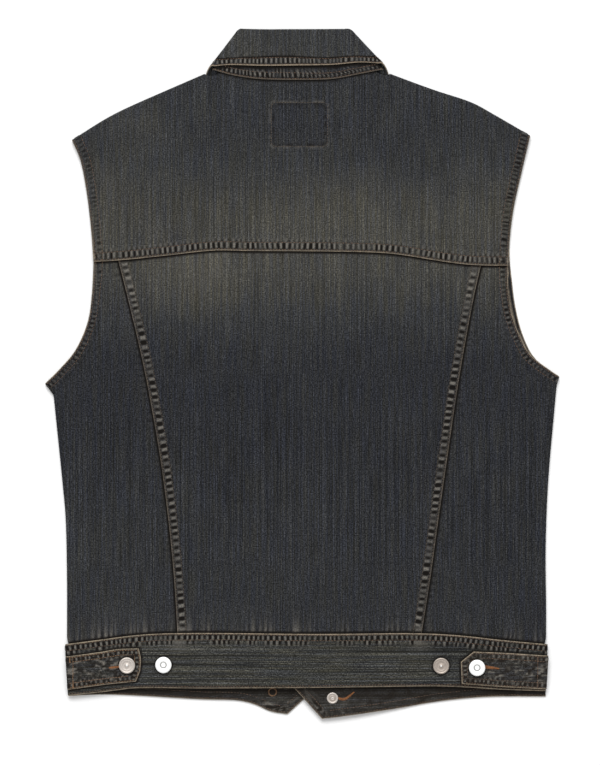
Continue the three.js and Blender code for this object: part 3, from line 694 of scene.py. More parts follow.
def centre_look(x, y):
    look = Look(x, body_fade(x, y))
    look.creases(x, y, BACK_CREASES)
    for s, seed in (("left", 31), ("right", 36)):
        look.strip(*princess[s].nearest(x, y)[:2], seed, ROWS["princess"], 7.2,
                   dark=1.3 - 0.7 * step(40, 95, y), beyond=1.5, tail=0.5, worn_edge=0.3, base=0.32,
                   spread=0.42)
    for place in CROSSINGS:
        spot = bell(x - place[0], 8) * bell(y - place[1], 6)
        look.shade *= 1 - 0.8 * spot
        look.rub(0.95 * spot)
    look.ripples(yoke_seam.where(0, x) - y, x, 41, 6.4, light=0.45)
    finish_panel(look, x, y, 43)
    return look


def side_look(side):
    hem_seed, seam_seed = (51, 61) if side == "left" else (56, 66)

    def looks(x, y):
        look = Look(x, body_fade(x, y))
        look.creases(x, y, BACK_CREASES)
        by_armhole(look, x, y, [armhole_back[side]], hem_seed)
        beside = np.abs(x) - np.abs(princess[side].where(1, y))
        look.ripples(beside, y, seam_seed, 6.3, 3.5, 0.22, 0.3)
        look.ripples(yoke_seam.where(0, x) - y, x, 71, light=0.35)
        finish_panel(look, x, y, 73)
        look.swell *= step(-1.2, 0.2, beside)
        look.crease *= step(-12, 6, beside) * step(2, 14, nearest_of(panel_folds, x, y)[0])
        return look

    return looks


def button_shadow(node, x, y):
    """The painted shadow that darkens the cloth round a button's edge."""
    low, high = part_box(node)
    away = np.hypot(x - (low.x + high.x) / 2 / MM, y - (low.y + high.y) / 2 / MM)
    return 0.95 * (1 - step(9.0, 10.4, away))


def band_look(x, y):
    look = Look(x, 0.62 + 0.1 * mottle(x, y, 30, 82) - 0.2 * step(110, 170, x))
    look.strip(*waist_top.nearest(x, y)[:2], 81, ROWS["waist"], 5.3, 0.42, light=1.1,
               dark=1.3 + 0.3 * step(0, 120, x), tail=1.7, base=0, spread=0.6)
    for place in CROSSINGS:
        look.rub(0.6 * bell(x - place[0], 9) * bell(y + 278, 7))
    below, along = waist_bottom.nearest(x, y)[:2]
    look.edged(below, along, 85)
    look.swell -= 0.12 * bell(below - 2, 0.7)
    # Faint painted shade beside the sunken row of hem stitches
    look.darken(0.25 * bell(below - 2.6, 1.2))
    for s in SIDES:
        # Painted shadow round the waistband's button
        look.darken(button_shadow(f"button_waist_{s}", x, y))
        # Painted shadow of the tab round its outline on the waistband
        edge = Line(TAB[s]["top"], *TAB[s]["tip"], backward(TAB[s]["bottom"]))
        look.darken(0.92 * (1 - step(0.8, 3.2, edge.nearest(x, y)[0])))
    return look


def tab_look(side):
    edges = [Line(TAB[side]["top"]), *(Line(tip) for tip in TAB[side]["tip"]), Line(TAB[side]["bottom"])]
    fade, rim, streaks, seed = (0.22, 0.02, 1.21, 93) if side == "left" else (0.05, 0.03, 1.1, 123)

    def looks(x, y):
        look = Look(x, fade + 0.2 * mottle(x, y, 9, 92))
        look.edge += rim
        look.shade = step(-0.1, 0.45, mottle(x / 2, y, 1.9, 91)) * (0.9 + 0.3 * mottle(x, y, 9, 89))
        look.worn = streaks * step(0.3, 0.8, mottle(x / 2.2, y, 1.8, 90))
        found = [edge.nearest(x, y)[:2] for edge in edges]
        depths = [depth for depth, _ in found]
        for k, (depth, place) in enumerate(found):
            part = Look(x, 0)
            part.strip(depth, place, seed + 7 * k, ROWS["tab"], 4.9, 0.36, light=1.1, dark=1.25, beyond=3,
                       tail=1.1)
            blend = 1 - step(0, 2.5, depth - np.min(depths, axis=0))
            look.join(part, blend)
            look.edge = np.maximum(look.edge, part.edge * np.maximum(blend, np.argmin(depths, axis=0) == k))
        # Painted shadow round the tab's button
        look.darken(button_shadow(f"button_tab_{side}", x, y))
        return look

    return looks


def front_look(side):
    def looks(x, y):
        fade = 0.32 + 0.5 * bell(np.abs(x) - 120, 60) * bell(y - 110, 60)
        look = Look(x, fade + 0.08 * mottle(x, y, 34, 101) + 0.05 * mottle(x, y, 13, 102))
        look.creases(x, y, FRONT_CREASES)
        look.crease *= -step(2, 14, nearest_of(panel_folds, x, y)[0]) * step(46, 60, np.abs(x))
        by_armhole(look, x, y, [armhole_front[side]], 103, down=True)
        look.ripples(np.abs(x) - FRONT_EDGE - PLACKET_WIDTH, y, 107, light=0.4)
        look.swell = np.minimum(look.swell, 0)
        return look

    return looks


def front_inside(x, y):
    look = Look(x, 0.25 + 0.08 * mottle(x, y, 30, 111))
    look.edged(nearest_of(armholes, x, y)[0], y, 112, 0.9)
    return look


def placket_look(x, y):
    look = Look(x, 0.45 + 0.08 * mottle(x, y, 20, 121))
    for k, depth in enumerate((np.abs(x) - FRONT_EDGE, FRONT_EDGE + PLACKET_WIDTH - np.abs(x))):
        look.strip(depth, y, 122 + 5 * k, ROWS["placket"], height=0.3, down=True, light=0.7, tail=0.5)
    return look


EYELET = (-30.9, -330.8)


def front_band_edges(side):
    return [Line(FRONT_HEM[side]), Line([FRONT_HEM[side][-1], WAIST_POINT[side]])]


def front_band_look(side, inside):
    seed = 142 if side == "left" else 133

    def looks(x, y):
        look = Look(x, (-0.1 if inside else 0.5) + 0.09 * mottle(x, y, 14, 131))
        below = waist_bottom.where(0, x) - y
        light, dark, edge = 0.8, 1, 1
        if inside:
            point = 1 - step(34, 56, np.abs(x))
            light, dark, edge = 0.12 + 0.7 * point, 0.35 + 0.65 * point, 0.8
            look.fade += 0.35 * point
            look.edge += 0.03
            look.worn += 0.09 + (0.25 + 0.3 * point) * step(0.3, 0.9, mottle(x / 1.6, y, 2.4, 134))
            # Dark mottled dye, with a flat painted shade away from the point, where the back hangs over the band
            look.shade += 0.25 * (1 - point) + 0.7 * step(0.0, 0.7, mottle(x / 1.6, y, 3.4, 132))
            # Painted shadow of the back's hem on the band just below it
            under = 1 - step(5, 16, below)
            look.worn *= 1 - 0.9 * under
            look.darken((0.8 + 0.35 * mottle(x / 2, y, 2.4, 129)) * under)
        found = [line.nearest(x, y)[:2] for line in front_band_edges(side)]
        for k, (depth, place) in enumerate(found):
            part = Look(x, 0)
            part.strip(depth, place, seed + 5 * k, ROWS["band"], 6.4, 0.32, not inside, light, dark, tail=0.4)
            look.join(part, 1 - step(0, 2.5, depth - np.minimum(found[0][0], found[1][0])))
            look.edge = np.maximum(look.edge, edge * part.edge)
        if inside:
            look.swell *= step(0.5, 2, below)
            if side == "left":
                # The eyelet's hole, painted as a dark disc standing in for the shade inside it
                look.darken(1.3 * (1 - step(2.4, 3.4, np.hypot(x - EYELET[0], y - EYELET[1]))))
        return look

    return looks


def plain_inside(x, y):
    return Look(x, 0.2 + 0.08 * mottle(x, y, 30, 141))


# Fine shells over the solids

def steps_of(from_start, from_end, pitch, width):
    """Columns at set distances from both edges, and about a pitch apart between, as offsets and shares."""
    low, high = from_start[-1], from_end[-1]
    count = max(2, round((width - low - high) / pitch))
    part = np.arange(1, count) / count
    offsets = np.r_[from_start, low * (1 - part) - high * part, -np.array(from_end)[::-1]]
    shares = np.r_[np.zeros(len(from_start)), part, np.ones(len(from_end))]
    return offsets, shares


EDGE = [0, 0.12, 0.3, 0.55, 0.9, 1.35, 1.9, 2.5, 3.2]
STITCHED = [*EDGE, *np.arange(4.1, 17, 1.0)]
FOLD = [0, 0.12, 0.35, 0.75, 1.25, 1.9, 2.7, 3.7, 5]


def skipped(count):
    """Every second one of a row of numbers, and all of them near the ends."""
    return np.array([k for k in range(count) if k % 2 == 0 or k < 7 or k > count - 8])




def make_mesh(name, points, faces, attributes, material):
    mesh = bpy.data.meshes.new(name)
    mesh.from_pydata((np.asarray(points) * MM).tolist(), [], faces)
    mesh.update()
    mesh.shade_smooth()
    for key, values in attributes.items():
        mesh.attributes.new(key, "FLOAT", "POINT").data.foreach_set("value", np.asarray(values, np.float32))
    piece = bpy.data.objects.new(name, mesh)
    bpy.context.scene.collection.objects.link(piece)
    mesh.materials.append(material)
    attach(piece, "root")
    return piece


def closed_shell(name, outer, inner, looks, material):
    """A closed wall between a fine outer grid and an inner one with about half of its rows and columns."""
    rows, columns = outer.shape[:2]
    keep_rows, keep_columns = skipped(rows), skipped(columns)
    number = np.arange(rows * columns).reshape(rows, columns)
    under = np.full((rows, columns), -1)
    thin = np.ix_(keep_rows, keep_columns)
    under[thin] = rows * columns + np.arange(len(keep_rows) * len(keep_columns)).reshape(len(keep_rows), -1)

    def quads(grid):
        return np.stack([grid[:-1, :-1], grid[:-1, 1:], grid[1:, 1:], grid[1:, :-1]], -1).reshape(-1, 4)

    faces = quads(number).tolist() + quads(under[thin])[:, ::-1].tolist()
    for keep, top, below, back in (
        (keep_columns, number[0], under[0], False),
        (keep_columns, number[-1], under[-1], True),
        (keep_rows, number[:, -1], under[:, -1], False),
        (keep_rows, number[:, 0], under[:, 0], True),
    ):
        for a, b in zip(keep[:-1], keep[1:]):
            ring = [int(below[a]), int(below[b]), *(int(k) for k in top[a : b + 1][::-1])]
            faces.append(ring[::-1] if back else ring)
    points = np.vstack([outer.reshape(-1, 3), inner[thin].reshape(-1, 3)])
    across, up = outer[0, 1] - outer[0, 0], outer[1, 0] - outer[0, 0]
    if np.dot(np.cross(across, up), outer[0, 0] - inner[0, 0]) < 0:
        faces = [face[::-1] for face in faces]
    outside_look, inside_look = looks
    attributes = {
        key: np.r_[getattr(outside_look, key).ravel(), getattr(inside_look, key)[thin].ravel()] for key in ATTRIBUTES
    }
    return make_mesh(name, points, faces, attributes, material)


def patch_grid(bottom, top, left, right, across, up):
    """The points of a patch between four edges, with rows and columns at set distances from them."""
    row = [part[:, None] for part in up]
    column = [part[None, :] for part in across]
    u = np.zeros((len(up[0]), len(across[0])))
    for _ in range(6):
        v = row[0] / np.abs(top.share(u, 0) - bottom.share(u, 0)) + row[1]
        u = column[0] / np.abs(right.share(v, 1) - left.share(v, 1)) + column[1]
    low, high = bottom.share(u, 0), top.share(u, 0)
    start, end = left.share(v, 1), right.share(v, 1)
    insets = {
        "bottom": v * np.abs(high - low), "top": (1 - v) * np.abs(high - low),
        "left": u * np.abs(end - start), "right": (1 - u) * np.abs(end - start),
    }
    return start + (end - start) * u, low + (high - low) * v, insets


surfaces = {}


def cloth(name, edges, across, up, face, ply, look, inside, material, rounded, folds=panel_folds):
    """The shell of one cloth piece, which replaces its solid. Its rounded edges end at the folds."""
    x, y, insets = patch_grid(*edges, across, up)
    point, normal = face(x, y)
    thick = ply(x, y)
    looks = look(x, y), inside(x, y)
    turn = np.zeros_like(x)
    for key in rounded:
        near = np.clip(1 - insets[key] / (thick / 2), 0, 1)
        turn = np.maximum(turn, 1 - np.sqrt(1 - near**2))
    turn *= step(1, 5, nearest_of(folds, x, y)[0])
    settle = np.minimum.reduce([insets[key] for key in rounded]) if rounded else 9 + 0 * x
    swell = looks[0].swell * step(0, 1.2, settle)
    inner_swell = looks[1].swell * step(0, 1.2, settle)
    drop = 0.46 * thick * turn
    outer = point + normal * (swell + looks[0].crease - drop)[..., None]
    inner = point - normal * (thick - looks[0].crease - drop + inner_swell)[..., None]
    piece = closed_shell(name, outer, inner, looks, material)
    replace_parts(piece, name)

    def surface(x, y):
        point, normal = face(x, y)
        found = look(x, y)
        return point + normal * (found.swell + found.crease)[..., None], normal

    def inside_surface(x, y):
        point, normal = face(x, y)
        found = inside(x, y)
        return point - normal * (ply(x, y) + found.swell)[..., None], -normal

    surfaces[name] = surface
    surfaces[name + " inside"] = inside_surface
    return piece


# Materials

class Nodes:
    """A material's node tree, built up call by call."""

    def __init__(self, name):
        self.material = bpy.data.materials.new(name)
        self.material.use_nodes = True
        self.tree = self.material.node_tree
        self.shader = self.tree.nodes["Principled BSDF"]

    def add(self, kind, inputs=None, **settings):
        node = self.tree.nodes.new(kind)
        for key, value in settings.items():
            setattr(node, key, value)
        for key, value in (inputs or {}).items():
            self.put(node.inputs[key], value)
        return node

    def put(self, socket, value):
        if isinstance(value, bpy.types.NodeSocket):
            self.tree.links.new(value, socket)
        else:
            socket.default_value = value

    def math(self, operation, a, b=0.0, clamp=False):
        node = self.add("ShaderNodeMath", {0: a, 1: b}, operation=operation, use_clamp=clamp)
        return node.outputs[0]

    def mix(self, share, a, b, blend="MIX"):
        node = self.add("ShaderNodeMix", data_type="RGBA", blend_type=blend)
        self.put(node.inputs[0], share)
        self.put(node.inputs[6], a)
        self.put(node.inputs[7], b)
        return node.outputs[2]

    def noise(self, size, detail=2.0, roughness=0.5, turn=0.0):
        """Noise whose grains are size millimetres along x, y and z."""
        place = self.add("ShaderNodeTexCoord").outputs["Object"]
        scale = tuple(0 if s == 0 else 1 / (s * MM) for s in size)
        mapped = self.add("ShaderNodeMapping", {"Vector": place, "Rotation": (0, 0, turn), "Scale": scale})
        return self.add(
            "ShaderNodeTexNoise",
            {"Vector": mapped.outputs[0], "Scale": 1.0, "Detail": detail, "Roughness": roughness},
        ).outputs["Fac"]

    def attribute(self, name):
        return self.add("ShaderNodeAttribute", attribute_name=name).outputs["Fac"]

    def ramp(self, share, stops):
        node = self.add("ShaderNodeValToRGB", {"Fac": share})
        elements = node.color_ramp.elements
        while len(elements) < len(stops):
            elements.new(0.5)
        for element, (position, colour) in zip(elements, stops):
            element.position = position
            element.color = (*colour, 1)
        return node.outputs["Color"]


def denim_material(name, grain, tint, depths):
    """Worn denim. grain is the direction of its threads, x or y.

    depths say how much its long, middle, short and smallest grains show.
    """
    n = Nodes(name)
    along = lambda fine, long: (fine, long, 0) if grain == "y" else (long, fine, 0)
    slub = n.noise(along(1.05, 240), 1.0)
    streak = n.noise(along(1.1, 34), 1.0)
    cross = n.noise(along(1.0, 5), 1.0)
    speckle = n.noise((1.25, 1.25, 0), 1.0)
    hue = n.noise(along(1.6, 50), 2.0)
    cloud = n.noise((24, 34, 0), 3.0, 0.55)
    fade = n.math("ADD", n.attribute("fade"), n.math("MULTIPLY", n.math("SUBTRACT", cloud, 0.5), 0.3))
    fade = n.math("MULTIPLY", fade, 0.8, clamp=True)
    stops = [(0.0, (0.0196, 0.0204, 0.0233)), (0.4, (0.0298, 0.0306, 0.0318)), (0.8, (0.0530, 0.0512, 0.0448)),
             (1.0, (0.066, 0.063, 0.055))]
    base = n.ramp(fade, [(at, tuple(c * t for c, t in zip(colour, tint))) for at, colour in stops])
    weave = 1.0
    for source, depth in zip((slub, streak, cross, speckle), depths):
        part = n.math("ADD", n.math("MULTIPLY", n.math("SUBTRACT", source, 0.5), depth), 1.0)
        part = n.math("MAXIMUM", part, 0.2)
        weave = part if weave == 1.0 else n.math("MULTIPLY", weave, part)
    softer = n.math("MULTIPLY", fade, 0.35)
    weave = n.math("ADD", weave, n.math("MULTIPLY", n.math("SUBTRACT", 1.0, weave), softer))
    grey = n.add("ShaderNodeCombineColor", {0: weave, 1: weave, 2: weave}).outputs[0]
    colour = n.mix(1.0, base, grey, "MULTIPLY")
    threads = n.ramp(hue, [(0.4, (0.94, 0.98, 1.10)), (0.6, (1.05, 1.02, 0.90))])
    colour = n.mix(1.0, colour, threads, "MULTIPLY")
    rub = n.math("ADD", n.math("MULTIPLY", n.math("SUBTRACT", n.noise((1.3, 1.3, 0), 1.0), 0.5), 3.0), 1.0)
    worn = n.math("MULTIPLY", n.math("MULTIPLY", n.attribute("worn"), rub), 0.72, clamp=True)
    colour = n.mix(worn, colour, (0.150, 0.139, 0.121, 1))
    # The shade attribute darkens towards near-black brown: dark indigo in hollows, and painted shade and shadows
    shade = n.math("MULTIPLY", n.attribute("shade"), 0.96, clamp=True)
    colour = n.mix(shade, colour, (0.0062, 0.0050, 0.0042, 1))
    edge = n.math("MULTIPLY", n.math("MULTIPLY", n.attribute("edge"), rub), 0.85, clamp=True)
    colour = n.mix(edge, colour, (0.29, 0.235, 0.17, 1))
    n.put(n.shader.inputs["Base Color"], colour)
    n.put(n.shader.inputs["Roughness"], n.math("ADD", n.math("MULTIPLY", speckle, 0.16), 0.82))
    n.shader.inputs["Specular IOR Level"].default_value = 0.1
    place = n.add("ShaderNodeTexCoord").outputs["Object"]
    turn = (0, 0, math.radians(28))
    turned_place = n.add("ShaderNodeMapping", {"Vector": place, "Rotation": turn}).outputs[0]
    waves = {"Vector": turned_place, "Scale": 330.0, "Distortion": 0.6, "Detail": 1.0}
    twill = n.add("ShaderNodeTexWave", waves).outputs["Fac"]
    fine = n.math("ADD", speckle, n.math("MULTIPLY", twill, 0.35))
    height = n.math("ADD", n.math("MULTIPLY", streak, 0.9), fine)
    bump = n.add("ShaderNodeBump", {"Strength": 0.55, "Distance": 0.00022, "Height": height})
    n.put(n.shader.inputs["Normal"], bump.outputs[0])
    return n.material


def thread_material(name, colour, dark):
    n = Nodes(name)
    tone = n.noise((2.2, 2.2, 2.2), 2.0)
    twist = n.noise((0.35, 0.35, 0.35), 1.0)
    n.put(n.shader.inputs["Base Color"], n.ramp(tone, [(0.36, dark), (0.62, colour)]))
    n.put(n.shader.inputs["Roughness"], n.math("ADD", n.math("MULTIPLY", twist, 0.25), 0.5))
    bump = n.add("ShaderNodeBump", {"Strength": 0.5, "Distance": 0.0001, "Height": twist})
    n.put(n.shader.inputs["Normal"], bump.outputs[0])
    return n.material


def metal_material(name, colour, dark, rough, metallic=0.85):
    n = Nodes(name)
    specks = n.noise((0.45, 0.45, 0.45), 3.0, 0.65)
    brushed = n.noise((0.25, 3.0, 1.0), 2.0, 0.6, turn=0.5)
    tone = n.math("ADD", n.math("MULTIPLY", specks, 0.65), n.math("MULTIPLY", brushed, 0.35))
    n.put(n.shader.inputs["Base Color"], n.ramp(tone, [(0.34, dark), (0.56, colour)]))
    n.put(n.shader.inputs["Roughness"], n.math("ADD", n.math("MULTIPLY", brushed, 0.3), rough - 0.15))
    n.shader.inputs["Metallic"].default_value = metallic
    bump = n.add("ShaderNodeBump", {"Strength": 0.3, "Distance": 0.00008, "Height": tone})
    n.put(n.shader.inputs["Normal"], bump.outputs[0])
    return n.material


DENIM = denim_material("Denim", "y", (1, 1, 1), (2.0, 1.5, 1.6, 4.2))
DENIM_ACROSS = denim_material("DenimAcross", "x", (1.03, 1.02, 0.94), (4.7, 1.8, 2.0, 5.6))
THREAD = thread_material("ThreadBrown", (0.165, 0.095, 0.055), (0.07, 0.042, 0.027))
THREAD_DULL = thread_material("ThreadDull", (0.1, 0.075, 0.052), (0.05, 0.038, 0.028))
THREAD_TAN = thread_material("ThreadTan", (0.26, 0.14, 0.065), (0.13, 0.068, 0.033))
THREAD_ORANGE = thread_material("ThreadOrange", (0.3, 0.115, 0.032), (0.17, 0.06, 0.018))
BRIGHT = metal_material("MetalBright", (0.96, 0.96, 0.95), (0.84, 0.84, 0.83), 0.5, 0.45)
BRIGHT_RING = metal_material("MetalRing", (0.36, 0.36, 0.35), (0.25, 0.25, 0.24), 0.5, 0.6)
AGED = metal_material("MetalAged", (0.66, 0.6, 0.55), (0.32, 0.285, 0.255), 0.5)
AGED_DARK = metal_material("MetalAgedDark", (0.47, 0.41, 0.36), (0.23, 0.195, 0.17), 0.5)


# The cloth pieces

def single(x, y):
    return np.full(np.shape(x), PLY)


def on(line, x):
    return [x, float(line.where(0, x))]


def between(line, low, high):
    return [on(line, x) for x in np.linspace(low, high, 13)]


def raised(points, distance):
    return [[x, y + distance] for x, y in points]


def add_yoke():
    top = Line(backward(SHOULDER["left"]), YOKE_NECK, SHOULDER["right"])
    ends = {"left": YOKE_SEAM[0], "right": YOKE_SEAM[-1]}
    armhole = {s: Line([ends[s], *backward([p for p in ARMHOLE_BACK[s] if p[1] > ends[s][1] + 8])]) for s in SIDES}

    def rise(x, y):
        in_seam = in_strip(y - yoke_seam.where(0, x))
        return in_seam * (LIFT * (1 + over_princess(x, y)) + hemmed(x, y) - PLY + SLACK)

    across = steps_of(STITCHED, STITCHED, 1.3, 460)
    up = steps_of(STITCHED, FOLD, 2.2, 190)
    edges = yoke_seam, top, armhole["left"], armhole["right"]
    return cloth("back_yoke", edges, across, up, back_face(rise, hemmed), hemmed, yoke_look, plain_inside, DENIM,
                 ["bottom", "left", "right"])


def add_back_panels():
    top = Line(raised(YOKE_SEAM, TUCK))
    bottom = Line(raised(WAIST_TOP, -TUCK))

    def down(points):
        return [on(bottom, points[-1][0]), *backward(points[1:-1]), on(top, points[0][0])]

    left, right = (down(PRINCESS[s]) for s in SIDES)
    edges = (
        Line(between(bottom, left[0][0], right[0][0])), Line(between(top, left[-1][0], right[-1][0])),
        Line(left), Line(right),
    )

    def rise(x, y):
        return LIFT * in_strip(from_princess(x, y))

    across = steps_of(STITCHED, STITCHED, 2.3, 340)
    up = steps_of([0, 3, 6, 8, *np.arange(9.2, 16, 1.2)], [0, 3, 6, 8, *np.arange(9.2, 16, 1.2)], 1.35, 410)
    cloth("back_centre", edges, across, up, back_face(rise, single), single, centre_look, plain_inside, DENIM,
          ["left", "right"])

    for s in SIDES:
        inward = TUCK if s == "left" else -TUCK
        inner = down([[x + inward, y] for x, y in PRINCESS[s]])
        armhole_top = on(top, ARMHOLE_BACK[s][4][0])
        armhole = [armhole_top, *(p for p in ARMHOLE_BACK[s] if p[1] < armhole_top[1] - 15)]
        root = on(bottom, TUCK_END[s][0])
        outer = Line([root, SIDE[s][1][-1]], *(backward(part) for part in backward(SIDE[s])), backward(armhole))
        sides = (outer, Line(inner))
        across = steps_of(STITCHED, [0, TUCK - 2, TUCK, TUCK + 1.2, TUCK + 3], 1.9, 130)
        if s == "right":
            sides = sides[::-1]
            across = (-across[0][::-1], 1 - across[1][::-1])
        bottom_edge = Line(between(bottom, *sorted((root[0], inner[0][0]))))
        top_edge = Line(between(top, *sorted((armhole_top[0], inner[-1][0]))))
        cloth(f"back_side_{s}", (bottom_edge, top_edge, *sides), across, up, back_face(lambda x, y: 0 * x, hemmed),
              hemmed, side_look(s), plain_inside, DENIM, [s])


def add_waistbands():
    band = lambda x, y: np.full(np.shape(x), BAND)
    edges = (waist_bottom, waist_top, Line(backward(WAIST_SIDE["left"])), Line(backward(WAIST_SIDE["right"])))
    across = steps_of(FOLD, FOLD, 1.2, 490)
    up = steps_of(STITCHED[:14], STITCHED, 1.6, 50)
    cloth("waistband_back", edges, across, up, band_face, band, band_look, plain_inside, DENIM_ACROSS,
          ["bottom", "top"])
    for s, way in WAY.items():
        side, tip = FRONT_HEM[s][0], FRONT_HEM[s][-1]
        side_top = WAIST_SIDE[s][0]
        edge_top = [way * FRONT_EDGE, WAIST_SEAM]
        shoulder = [way * FRONT_EDGE, -300]
        hem = Line(FRONT_HEM[s])
        top = Line([side_top, [way * 125, WAIST_SEAM + 1.5], edge_top])
        point = WAIST_POINT[s]
        sides = (Line([side, side_top]), Line([tip, point], [point, shoulder], [shoulder, edge_top]))
        across = steps_of(FOLD, STITCHED, 2.0, 250)
        if s == "right":
            hem, top = (Line(backward(FRONT_HEM[s])), Line([edge_top, [way * 125, WAIST_SEAM + 1.5], side_top]))
            sides = sides[::-1]
            across = (-across[0][::-1], 1 - across[1][::-1])
        up = steps_of(STITCHED[:18], [0, 0.3, 0.8, 1.6, 3], 2.4, 60)
        cloth(f"waistband_front_{s}", (hem, top, *sides), across, up, front_band_face(s), band,
              front_band_look(s, False), front_band_look(s, True), DENIM_ACROSS,
              ["bottom", "top", "right" if s == "left" else "left"])


def add_fronts():
    for s, way in WAY.items():
        edge_x = way * FRONT_EDGE
        bottom_y = WAIST_SEAM - TUCK
        lapped = [[x - way * 5.5, y + 6.5] for x, y in COLLAR_FRONT[s]["neck"][1:-1]]
        neck = [SHOULDER[s][0], *lapped, [edge_x, FRONT_NECK]]
        outer = Line([TUCK_END[s], SIDE[s][1][-1]], *(backward(part) for part in backward(SIDE[s])),
                     backward(ARMHOLE_FRONT[s]))
        bottom = [TUCK_END[s], [edge_x, bottom_y]]
        top = [backward(SHOULDER[s]), neck]
        inner = Line([[edge_x, bottom_y], [edge_x, FRONT_NECK]])
        sides = (outer, inner)
        across = steps_of([*EDGE, *np.arange(4.4, 15, 1.5)], EDGE, 2.9, 250)
        if s == "right":
            bottom, top = backward(bottom), [backward(part) for part in backward(top)]
            sides = sides[::-1]
            across = (-across[0][::-1], 1 - across[1][::-1])
        up = steps_of([0, 2, 5, 8, 10, 13], FOLD, 2.9, 560)
        cloth(f"front_{s}", (Line(bottom), Line(*top), *sides), across, up, front_face, hemmed, front_look(s),
              front_inside, DENIM, [s])

        ends = [edge_x, edge_x + way * PLACKET_WIDTH]
        low, high = sorted(ends)
        top_line = Line(*top)
        edges = (
            Line([[low, PLACKET_FOOT], [high, PLACKET_FOOT]]),
            Line([[low, float(top_line.where(0, low)) - 5], [high, float(top_line.where(0, high)) - 5]]),
            Line([[low, PLACKET_FOOT], [low, float(top_line.where(0, low)) - 5]]),
            Line([[high, PLACKET_FOOT], [high, float(top_line.where(0, high)) - 5]]),
        )
        across = steps_of(STITCHED[:14], STITCHED[:14], 1.6, 38)
        up = steps_of(EDGE, EDGE, 2.2, 505)
        cloth(f"placket_{s}", edges, across, up, moved_out(front_face, LIFT), single, placket_look, plain_inside,
              DENIM, ["left", "right"])


def add_tabs():
    band = lambda x, y: np.full(np.shape(x), BAND)
    for s in SIDES:
        root, top, tip, bottom = (TAB[s][key] for key in ("root", "top", "tip", "bottom"))
        sides = (Line(backward(root)), Line(*(backward(part) for part in backward(tip))))
        across = steps_of(FOLD, STITCHED[:16], 1.1, 76)
        if s == "right":
            top, bottom = backward(top), backward(bottom)
            sides = sides[::-1]
            across = (-across[0][::-1], 1 - across[1][::-1])
        up = steps_of(STITCHED[:16], STITCHED[:16], 1.1, 34)
        cloth(f"tab_{s}", (Line(bottom), Line(top), *sides), across, up, moved_out(band_face, GAP + BAND), band,
              tab_look(s), plain_inside, DENIM_ACROSS, ["bottom", "top", "right" if s == "left" else "left"])


